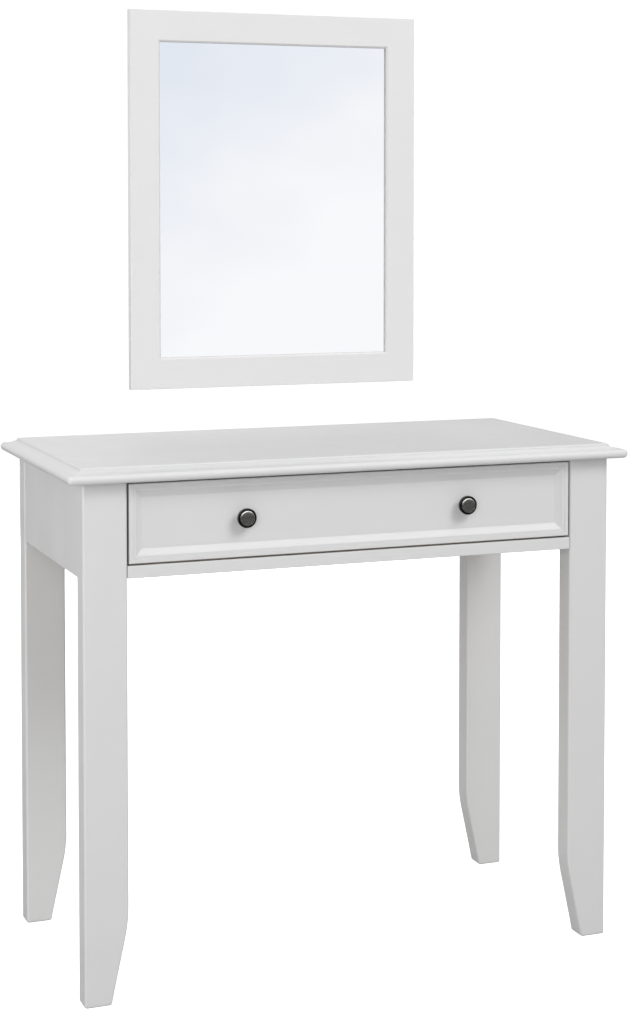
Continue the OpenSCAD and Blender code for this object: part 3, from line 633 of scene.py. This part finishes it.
def leg_width(z, full):
    """Width of a leg at a height: tapered foot, blended into the straight part."""
    slope = FOOT_INSET / (TAPER_Z - TAPER_BLEND)
    turn = math.atan(slope)
    bend = TAPER_BLEND / math.tan(turn / 2)
    start = TAPER_Z - bend * math.sin(turn)
    if z >= TAPER_Z:
        return full
    if z <= start:
        return full - FOOT_INSET + slope * z
    return full - bend + math.sqrt(bend * bend - (TAPER_Z - z) ** 2)


def leg(node):
    """Leg with softly rounded corners and a foot that is rounded under."""
    low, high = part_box(node)
    full = high.x - low.x
    outer_right = high.x > 0
    bend_steps = 10
    heights = [FOOT_ROUND * (1 - math.cos(math.radians(a))) for a in range(0, 91, 18)]
    heights += TAPER_RINGS
    heights += [TAPER_Z - (TAPER_Z - BEND_RINGS_Z) * (1 - i / bend_steps)
                for i in range(bend_steps + 1)]
    heights.append(high.z)
    rings = []
    for z in heights:
        below = max(FOOT_ROUND - z, 0)
        tuck = FOOT_ROUND - math.sqrt(max(FOOT_ROUND ** 2 - below ** 2, 0))
        width = leg_width(z, full)
        x0 = high.x - width if outer_right else low.x
        x1 = high.x if outer_right else low.x + width
        ring = round_rectangle(x0 + tuck, x1 - tuck, low.y + tuck, high.y - tuck, LEG_ROUND, 6)
        rings.append([(x, y, z) for x, y in ring])
    return put(skinned(node + "_finished", rings), LACQUER_Z, node)


def under_frame():
    """Aprons, rails, battens and corner blocks, with the edges eased by sandpaper."""
    for side in ("left", "right"):
        put(eased("side_apron_" + side, BOARD_ROUND), LACQUER_Y, "side_apron_" + side)
        put(eased("runner_batten_" + side, HIDDEN_ROUND), BIRCH_Y, "runner_batten_" + side)
        for end in ("front", "back"):
            block = "corner_block_" + end + "_" + side
            put(eased(block, HIDDEN_ROUND), BIRCH_Z, block)
    put(eased("back_apron", BOARD_ROUND), LACQUER_X, "back_apron")
    put(eased("lower_rail", BOARD_ROUND), LACQUER_X, "lower_rail")
    put(eased("kicker_rail", HIDDEN_ROUND), BIRCH_X, "kicker_rail")
    put(eased("frame_dowels", 0.25 * MM), BIRCH_X, "frame_dowels")


# ---------------------------------------------------------------- drawer

def fine_step(inset, depth):
    """Points of one fine step of the moulding, from its soft outer edge to near its bottom."""
    soft = 0.35 * MM
    bottom = (inset + 0.4 * MM, depth + 0.85 * STEP_DEPTH)
    return [(inset - soft, depth), (inset, depth + 0.15 * MM), bottom]


def drawer_front():
    """Drawer front with a flat margin, two fine steps, a hollow and a flat panel."""
    low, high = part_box("drawer_front")
    thick = high.y - low.y
    front_r = 1.4 * MM
    back_r = 0.8 * MM
    second = MARGIN_W + STEP_W + FILLET_W
    hollow = second + STEP_W
    shallow = 2 * STEP_DEPTH
    deep = PANEL_RECESS - 0.3 * MM
    hollow_steps = 10
    profile = [(back_r, thick), (0, thick - back_r)]
    profile += arc(front_r, front_r, front_r, 180, 270, 6)
    profile += fine_step(MARGIN_W, 0) + [(MARGIN_W + STEP_W, STEP_DEPTH)]
    profile += fine_step(second, STEP_DEPTH)
    for i in range(1, hollow_steps + 1):
        f = i / hollow_steps
        profile.append((hollow + HOLLOW_W * f, shallow + (deep - shallow) * f * (1.3 - 0.3 * f)))
    profile.append((hollow + HOLLOW_W + 0.3 * MM, PANEL_RECESS))
    rings = []
    for inset, depth in profile:
        corner = max(0.8 * MM - inset * 0.1, 0.2 * MM)
        ring = round_rectangle(low.x + inset, high.x - inset, low.z + inset, high.z - inset, corner, 2)
        rings.append([(x, low.y + depth, z) for x, z in ring])
    return put(skinned("drawer_front_finished", rings), LACQUER_X, "drawer_front")


def drawer_box():
    """Sides, ends and bottom of the drawer box."""
    for side in ("left", "right"):
        put(eased("drawer_side_" + side, BOX_ROUND), BIRCH_Y, "drawer_side_" + side)
    put(eased("drawer_box_front", 0.6 * MM), BIRCH_X, "drawer_box_front")
    put(eased("drawer_back", BOX_ROUND), BIRCH_X, "drawer_back")
    put(eased("drawer_bottom", 0.4 * MM), PLYWOOD, "drawer_bottom")


def knob(node):
    """Turned knob: ringed foot, slim waist, bevelled rim, flat ring and a low domed face."""
    low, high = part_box(node)
    head_r = (high.x - low.x) / 2
    out = high.y - low.y
    centre = ((low.x + high.x) / 2, high.y, (low.z + high.z) / 2)

    # Foot: a low drum whose upper edge is drawn in to a fine bead
    foot_r = head_r * 16 / 28
    drum = 1.4 * MM
    profile = [(0, 0), (foot_r - 0.3 * MM, 0), (foot_r, 0.3 * MM), (foot_r, drum)]
    profile += [(foot_r - drawn, drum + rise) for drawn, rise in
                ((0.1 * MM, 0.4 * MM), (0.35 * MM, 0.65 * MM), (0.8 * MM, 0.8 * MM))]
    profile.append((foot_r - 1.3 * MM, drum + 0.9 * MM))

    # Waist and the underside of the head
    waist_r = foot_r * 0.62
    hollow_r = 4.2 * MM
    head = out - 8 * MM
    lower_r = 1.5 * MM
    profile += arc(waist_r + hollow_r, 6.2 * MM, hollow_r, 240, 120, 8)
    profile.append((head_r - 3.2 * MM, head - 0.2 * MM))
    profile += arc(head_r - lower_r, head + lower_r, lower_r, -80, 0, 7)

    # Rim, ring and face
    rim_r = 1.7 * MM
    ring = out - 1.75 * MM
    face_r = head_r - 5.6 * MM
    face_rise = 0.35 * MM
    shoulder = 3.2 * MM
    face_steps = 8
    profile += arc(head_r - rim_r, out - 3.3 * MM, rim_r, 0, 65, 6)
    profile += [(head_r - 1.4 * MM, ring), (head_r - 2.4 * MM, ring)]
    profile += arc(face_r, out - face_rise - shoulder, shoulder, 28, 78, 5)
    for i in range(face_steps + 1):
        f = 1 - i / face_steps
        profile.append((face_r * f, out - face_rise * f * f))
    return put(turned(node + "_finished", profile, centre, (0, -1, 0), 72), PEWTER, node)


# ---------------------------------------------------------------- runners

def roller(node):
    """Nylon roller with a rounded tread, a shallow dish on each face and a hub round its bore."""
    low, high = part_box(node)
    r = (high.z - low.z) / 2
    face = (high.x - low.x) / 2
    bore = 2.55 * MM
    hub = bore + 1.6 * MM
    dish = 0.7 * MM
    soft = 1 * MM
    half = [(bore, face - 0.3 * MM), (bore + 0.3 * MM, face), (hub, face)]
    half += [(hub + 0.5 * MM, face - dish), (r - 2.4 * MM, face - dish), (r - 1.8 * MM, face)]
    half += arc(r - soft, face - soft, soft, 90, 0, 6)
    profile = half + [(a, -h) for a, h in reversed(half)]
    centre = (low + high) / 2
    return put(turned(node + "_finished", profile, centre, (1, 0, 0), 64, loop=True), NYLON, node)


def axles(node):
    """Riveted pins, one at each side, with bevelled ends."""
    low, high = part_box(node)
    r = (high.z - low.z) / 2
    soft = 0.5 * MM
    inner = min(abs(v.co.x) for v in frame["nodes"][node].data.vertices)
    length = high.x - inner
    centre_y = (low.y + high.y) / 2
    centre_z = (low.z + high.z) / 2
    profile = [(0, 0), (r - soft, 0), (r, soft), (r, length - soft), (r - soft, length), (0, length)]
    pins = []
    for side in (-1, 1):
        start = (side * inner, centre_y, centre_z)
        pins.append(turned("pin", profile, start, (side, 0, 0), 40))
    return put(merged(node + "_finished", pins), PIN_STEEL, node)


def runners():
    """Runner channels, rollers and axles of both sides."""
    for side in ("left", "right"):
        put(eased("cabinet_runner_" + side, SHEET_ROUND, 2), RUNNER, "cabinet_runner_" + side)
        put(eased("drawer_runner_" + side, SHEET_ROUND, 2), RUNNER, "drawer_runner_" + side)
        roller("cabinet_roller_" + side)
        roller("drawer_roller_" + side)
    axles("cabinet_axles")
    axles("drawer_axles")


# ---------------------------------------------------------------- mirror

def frame_side(node, way):
    """One mitred side of the mirror frame, with a lip over the glass and eased edges."""
    stile_low, stile_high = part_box("mirror_stile_left")
    left = stile_low.x
    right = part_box("mirror_stile_right")[1].x
    low_z, high_z = stile_low.z, stile_high.z
    front, back = stile_low.y, stile_high.y
    outer = 1.1 * MM
    back_edge = 0.5 * MM
    slope = 2.6 * MM
    soft = 0.4 * MM
    section = [(back_edge, back), (0, back - back_edge)]
    section += arc(outer, front + outer, outer, 180, 270, 5)
    section += [(FRAME_W - slope - soft, front), (FRAME_W - slope, front + 0.2 * soft)]
    section += [(FRAME_W - 0.2 * soft, front + slope), (FRAME_W, front + slope + soft)]
    section += [(FRAME_W, front + LIP_T), (FRAME_W - LIP_W, front + LIP_T), (FRAME_W - LIP_W, back)]
    ends = ([], [])
    for inset, y in section:
        corners = {"top": ((left + inset, high_z - inset), (right - inset, high_z - inset)),
                   "bottom": ((left + inset, low_z + inset), (right - inset, low_z + inset)),
                   "left": ((left + inset, low_z + inset), (left + inset, high_z - inset)),
                   "right": ((right - inset, low_z + inset), (right - inset, high_z - inset))}
        for end, (x, z) in zip(ends, corners[way]):
            end.append((x, y, z))
    finish = FRAME_Z if way in ("left", "right") else FRAME_X
    return put(skinned(node + "_finished", ends), finish, node)


def mirror():
    """Frame, glass and backing of the mirror, and the fittings that hold it."""
    frame_side("mirror_stile_left", "left")
    frame_side("mirror_stile_right", "right")
    frame_side("mirror_rail_top", "top")
    frame_side("mirror_rail_bottom", "bottom")
    put(eased("mirror_glass", 0.5 * MM), GLASS, "mirror_glass")
    put(eased("mirror_backing", 0.4 * MM), HARDBOARD, "mirror_backing")
    put(eased("backing_clips", 0.2 * MM, 2), ZINC, "backing_clips")
    put(eased("hanger_plates", FITTING_ROUND, 2), ZINC, "hanger_plates")
    put(eased("wall_clips", FITTING_ROUND, 2), ZINC, "wall_clips")
    put(eased("mirror_bumpers", 0.2 * MM), FELT, "mirror_bumpers")


# ---------------------------------------------------------------- screws

class Shaping(Wiring):
    """Wiring for geometry nodes."""

    def moved(self, geometry, offset, turn=(0.0, 0.0, 0.0)):
        made = self.node("GeometryNodeTransform", Geometry=geometry, Translation=offset, Rotation=turn)
        return made.outputs[0]

    def join(self, *parts):
        made = self.tree.nodes.new("GeometryNodeJoinGeometry")
        for part in parts:
            self.tree.links.new(part, made.inputs[0])
        return made.outputs[0]


def cross_head(n, given):
    """Head of a screw: a disc drawn in to a low dome, with a cross cut into it."""
    head_h = given["Head Height"]
    disc = n.node("GeometryNodeMeshCylinder", Vertices=28, Side_Segments=5, Fill_Segments=3,
                  Radius=n.math("MULTIPLY", given["Head"], 0.5), Depth=head_h).outputs["Mesh"]
    disc = n.moved(disc, n.combine(z=n.math("MULTIPLY", head_h, 0.5)))
    place = n.node("GeometryNodeInputPosition").outputs[0]
    xyz = n.node("ShaderNodeSeparateXYZ", in0=place).outputs
    rise = n.math("DIVIDE", xyz["Z"], head_h)
    narrow = n.math("SUBTRACT", 1.0, n.math("MULTIPLY", n.math("POWER", rise, 2.0), 0.3))
    drawn_in = n.combine(n.math("MULTIPLY", xyz["X"], narrow), n.math("MULTIPLY", xyz["Y"], narrow),
                         xyz["Z"])
    head = n.node("GeometryNodeSetPosition", Geometry=disc, Position=drawn_in).outputs[0]
    wide = n.math("MULTIPLY", given["Head"], 0.52)
    slim = n.math("MULTIPLY", given["Head"], 0.12)
    deep = n.math("MULTIPLY", head_h, 1.3)
    lift = n.combine(z=n.math("MULTIPLY", head_h, 1.05))
    for size in (n.combine(wide, slim, deep), n.combine(slim, wide, deep)):
        bar = n.moved(n.node("GeometryNodeMeshCube", Size=size).outputs["Mesh"], lift)
        cut = n.node("GeometryNodeMeshBoolean", {"operation": "DIFFERENCE", "solver": "EXACT"})
        n.tree.links.new(head, cut.inputs["Mesh 1"])
        n.tree.links.new(bar, cut.inputs["Mesh 2"])
        head = cut.outputs["Mesh"]
    return head


def threaded_shank(n, given):
    """Parts of a screw below its head: core, tip and thread."""
    core_r = n.math("MULTIPLY", given["Shank"], 0.38)
    tip = n.math("MULTIPLY", given["Shank"], 0.9)
    stem = n.math("SUBTRACT", given["Length"], tip)
    core = n.node("GeometryNodeMeshCylinder", Vertices=14, Radius=core_r, Depth=stem).outputs["Mesh"]
    core = n.moved(core, n.combine(z=n.math("MULTIPLY", stem, -0.5)))
    point = n.node("GeometryNodeMeshCone", Vertices=14, Radius_Top=0.0, Radius_Bottom=core_r,
                   Depth=tip).outputs["Mesh"]
    point = n.moved(point, n.combine(z=n.math("MULTIPLY", stem, -1.0)), (math.pi, 0.0, 0.0))
    turns = n.math("DIVIDE", stem, given["Pitch"])
    helix = n.node("GeometryNodeCurveSpiral", Resolution=12, Rotations=turns, Start_Radius=core_r,
                   End_Radius=core_r, Height=n.math("MULTIPLY", stem, 0.94)).outputs[0]
    ridge = n.node("GeometryNodeCurvePrimitiveCircle", {"mode": "RADIUS"}, Resolution=3,
                   Radius=n.math("MULTIPLY", given["Shank"], 0.11)).outputs[0]
    thread = n.node("GeometryNodeCurveToMesh", Curve=helix, Profile_Curve=ridge,
                    Fill_Caps=True).outputs[0]
    return core, point, n.moved(thread, n.combine(z=n.math("MULTIPLY", stem, -0.97)))


def cross_screw_tree():
    """Screws on points: a domed head with a cross recess, a core, a thread and a tip.
    Each point's turn attribute brings the screw's +Z, which is its head's way, to the real one."""
    tree = bpy.data.node_groups.new("cross_screws", "GeometryNodeTree")
    tree.interface.new_socket("Places", in_out="INPUT", socket_type="NodeSocketGeometry")
    for label in ("Length", "Shank", "Head", "Head Height", "Pitch"):
        tree.interface.new_socket(label, in_out="INPUT", socket_type="NodeSocketFloat")
    tree.interface.new_socket("Finish", in_out="INPUT", socket_type="NodeSocketMaterial")
    tree.interface.new_socket("Screws", in_out="OUTPUT", socket_type="NodeSocketGeometry")
    n = Shaping(tree)
    given = tree.nodes.new("NodeGroupInput").outputs
    result = tree.nodes.new("NodeGroupOutput").inputs
    screw = n.join(cross_head(n, given), *threaded_shank(n, given))
    turn = n.node("GeometryNodeInputNamedAttribute", {"data_type": "FLOAT_VECTOR"},
                  Name="turn").outputs[0]
    whole = n.node("GeometryNodeInstanceOnPoints", Points=given["Places"], Instance=screw,
                   Rotation=turn).outputs[0]
    whole = n.node("GeometryNodeRealizeInstances", Geometry=whole).outputs[0]
    whole = n.node("GeometryNodeSetMaterial", Geometry=whole, Material=given["Finish"]).outputs[0]
    tree.links.new(whole, result["Screws"])
    return tree


def islands(node):
    """The separate solids of a CAD node in the order of its mesh, each as its list of points."""
    bm = bmesh.new()
    bm.from_mesh(frame["nodes"][node].data)
    bmesh.ops.remove_doubles(bm, verts=bm.verts, dist=SAME_CAD_POINT)
    reached = set()
    found = []
    for first in bm.verts:
        if first in reached:
            continue
        reached.add(first)
        todo = [first]
        island = []
        while todo:
            vert = todo.pop()
            island.append(vert.co.copy())
            for edge in vert.link_edges:
                other = edge.other_vert(vert)
                if other not in reached:
                    reached.add(other)
                    todo.append(other)
        found.append(island)
    bm.free()
    return found


def screw_facts(points):
    """Where a screw is and how large: place under its head, way its head faces, sizes."""
    low = Vector([min(p[i] for p in points) for i in range(3)])
    high = Vector([max(p[i] for p in points) for i in range(3)])
    size = high - low
    axis = max(range(3), key=lambda i: size[i])
    middle = (low + high) / 2

    def radius(p):
        return math.sqrt(sum((p[i] - middle[i]) ** 2 for i in range(3) if i != axis))

    head_r = max(radius(p) for p in points)
    head_starts = 0.9 * head_r
    wide = [p[axis] for p in points if radius(p) > head_starts]
    narrow = [radius(p) for p in points if radius(p) < head_starts]
    head_up = sum(wide) / len(wide) > middle[axis]
    under = min(wide) if head_up else max(wide)
    place = middle.copy()
    place[axis] = under
    way = Vector((0, 0, 0))
    way[axis] = 1 if head_up else -1
    head_h = max(wide) - min(wide)
    return {"place": place, "way": way, "head": 2 * head_r, "head_h": head_h,
            "shank": 2 * max(narrow), "length": size[axis] - head_h}


def shaped_screws(tree, node, facts):
    """Screws of one length as a plain mesh, each turned a little further than the last."""
    next_turn = math.radians(37)
    first = facts[0]
    mesh = bpy.data.meshes.new(node + "_places")
    mesh.from_pydata([tuple(f["place"]) for f in facts], [], [])
    turns = mesh.attributes.new("turn", "FLOAT_VECTOR", "POINT")
    for i, f in enumerate(facts):
        spin = Matrix.Rotation(next_turn * i, 4, "Z")
        euler = (f["way"].to_track_quat("Z", "Y").to_matrix().to_4x4() @ spin).to_euler()
        turns.data[i].vector = tuple(euler)
    holder = bpy.data.objects.new(node + "_places", mesh)
    bpy.context.scene.collection.objects.link(holder)
    made = holder.modifiers.new("cross_screws", "NODES")
    made.node_group = tree
    sizes = {"Length": first["length"], "Shank": first["shank"], "Head": first["head"],
             "Head Height": first["head_h"], "Pitch": 0.42 * first["shank"], "Finish": ZINC}
    for item in tree.interface.items_tree:
        if item.in_out == "INPUT" and item.name in sizes:
            made[item.identifier] = sizes[item.name]
    bpy.context.view_layer.update()
    graph = bpy.context.evaluated_depsgraph_get()
    shaped = bpy.data.meshes.new_from_object(holder.evaluated_get(graph))
    holder.modifiers.clear()
    holder.data = shaped
    return holder


def screws(tree, node):
    """Cross-recess screws in the places of a CAD node's plain ones, each with its own length."""
    by_length = {}
    for points in islands(node):
        facts = screw_facts(points)
        by_length.setdefault(round(facts["length"] / MM, 1), []).append(facts)
    shaped = [shaped_screws(tree, node, same) for same in by_length.values()]
    return put(merged(node + "_finished", shaped), ZINC, node)


def all_screws():
    """The screws of every body, all from one node tree."""
    tree = cross_screw_tree()
    for node in ("top_screws", "batten_screws", "cabinet_runner_screws", "drawer_box_screws",
                 "drawer_front_screws", "knob_screws", "drawer_runner_screws",
                 "backing_clip_screws", "hanger_screws"):
        screws(tree, node)


# ---------------------------------------------------------------- studio

# How bright the world lights the pieces, and how bright the camera and the mirror see it
WORLD_LIGHT = 0.40
WORLD_SEEN = 1.05

# What rough gloss sees of the world: grey, brighter overhead and towards the backdrop
SHEEN_LOW = 0.24
SHEEN_OVERHEAD = 1.9
SHEEN_BACKDROP = 0.85
BACKDROP_WAY = (-0.35, 0.94, 0.0)

# The floor's colour where it is seen, where it throws light back and in gloss, and the glow
# that brings the seen floor up to the world's brightness
FLOOR_SEEN = (0.88, 0.88, 0.88)
FLOOR_BOUNCE = (0.55, 0.55, 0.55)
FLOOR_SHEEN = (0.12, 0.12, 0.12)
FLOOR_GLOW = WORLD_SEEN - FLOOR_SEEN[0] * WORLD_LIGHT

# The middle of the table, which all lamps face
LAMP_AIM = Vector((0.0, -0.1, 0.6))


def sight(w):
    """Two masks: 1 for rays that show the studio itself, and 1 for rays that give a soft sheen."""
    path = w.node("ShaderNodeLightPath").outputs
    mirrored = w.math("MULTIPLY", path["Is Glossy Ray"], path["Is Singular Ray"])
    seen = w.math("MAXIMUM", path["Is Camera Ray"], mirrored)
    return seen, w.math("SUBTRACT", path["Is Glossy Ray"], mirrored, clamp=True)


def pale_floor():
    """White paper floor. It throws less light back on the object than it shows."""
    material, w, shader, place = finish_start("pale_floor", 0.9)
    seen, sheen = sight(w)
    fibres = w.ramp(w.noise(place, 40.0, 3.0), 0.3, 0.7, 0.99, 1.0)
    base = w.mix(sheen, w.mix(seen, FLOOR_BOUNCE, FLOOR_SEEN), FLOOR_SHEEN)
    feed(w, shader, tinted(w, base, fibres))
    w.tree.links.new(w.math("MULTIPLY", seen, FLOOR_GLOW), shader.inputs["Emission Strength"])
    shader.inputs["Emission Color"].default_value = (1, 1, 1, 1)
    shader.inputs["Specular IOR Level"].default_value = 0.0
    return material


def studio_floor():
    """The floor, far wider than the object."""
    half = 30.0
    mesh = bpy.data.meshes.new("studio_floor")
    mesh.from_pydata([(-half, -half, 0), (half, -half, 0), (half, half, 0), (-half, half, 0)], [],
                     [(0, 1, 2, 3)])
    floor = bpy.data.objects.new("studio_floor", mesh)
    bpy.context.scene.collection.objects.link(floor)
    mesh.materials.append(pale_floor())


def soft_light(name, place, size, power):
    """A round lamp that faces the table and is never seen itself."""
    data = bpy.data.lights.new(name, "AREA")
    data.shape = "DISK"
    data.size = size
    data.energy = power
    lamp = bpy.data.objects.new(name, data)
    lamp.location = place
    lamp.rotation_mode = "QUATERNION"
    lamp.rotation_quaternion = (LAMP_AIM - Vector(place)).to_track_quat("-Z", "Y")
    lamp.visible_glossy = False
    lamp.visible_camera = False
    bpy.context.scene.collection.objects.link(lamp)


def studio_world():
    """A grey world whose strength depends on the ray: light, plain sight or soft sheen."""
    world = bpy.data.worlds.new("studio_world")
    bpy.context.scene.world = world
    world.use_nodes = True
    tree = world.node_tree
    back = tree.nodes["Background"]
    w = Wiring(tree)
    seen, sheen = sight(w)
    way = w.node("ShaderNodeTexCoord").outputs["Generated"]
    rise = w.node("ShaderNodeSeparateXYZ", in0=way).outputs["Z"]
    behind = w.vector("DOT_PRODUCT", way, BACKDROP_WAY)
    overhead = w.ramp(rise, 0.3, 0.62, SHEEN_LOW, SHEEN_OVERHEAD)
    backdrop = w.ramp(behind, 0.5, 0.82, SHEEN_LOW, SHEEN_BACKDROP)
    in_gloss = w.math("MAXIMUM", overhead, backdrop)
    light = w.math("ADD", w.math("MULTIPLY", seen, WORLD_SEEN - WORLD_LIGHT), WORLD_LIGHT)
    gloss = w.math("MULTIPLY", sheen, w.math("SUBTRACT", in_gloss, WORLD_LIGHT))
    light = w.math("ADD", light, gloss)
    tree.links.new(light, back.inputs["Strength"])
    back.inputs["Color"].default_value = (1, 1, 1, 1)


def studio():
    """World, floor and four lamps: main, front left, left and back."""
    studio_world()
    studio_floor()
    soft_light("key_light", (1.887, -3.368, 3.88), 2.5, 127)
    soft_light("front_left_light", (-1.565, -2.811, 1.265), 1.6, 28.6)
    soft_light("left_light", (-2.934, -0.1, 1.224), 1.6, 31.7)
    soft_light("back_light", (0.6, 3.764, 1.635), 2.0, 50)


def camera():
    """A camera at the front left, its view shifted down to the table."""
    data = bpy.data.cameras.new("front_camera")
    data.lens = 70.652
    data.sensor_width = 36
    data.shift_y = -0.2
    data.clip_start = 0.05
    data.clip_end = 200
    tilt = math.radians(90 - 2.814)
    pan = math.radians(-20.96)
    cam = bpy.data.objects.new("front_camera", data)
    cam.location = (-1.0943, -2.8793, 1.1194)
    cam.rotation_euler = (tilt, 0, pan)
    bpy.context.scene.collection.objects.link(cam)
    bpy.context.scene.camera = cam


tabletop()
for corner in ("front_left", "front_right", "back_left", "back_right"):
    leg("leg_" + corner)
under_frame()
drawer_front()
drawer_box()
knob("knob_left")
knob("knob_right")
runners()
mirror()
all_screws()
studio()
camera()
bpy.context.scene.view_settings.view_transform = "Standard"
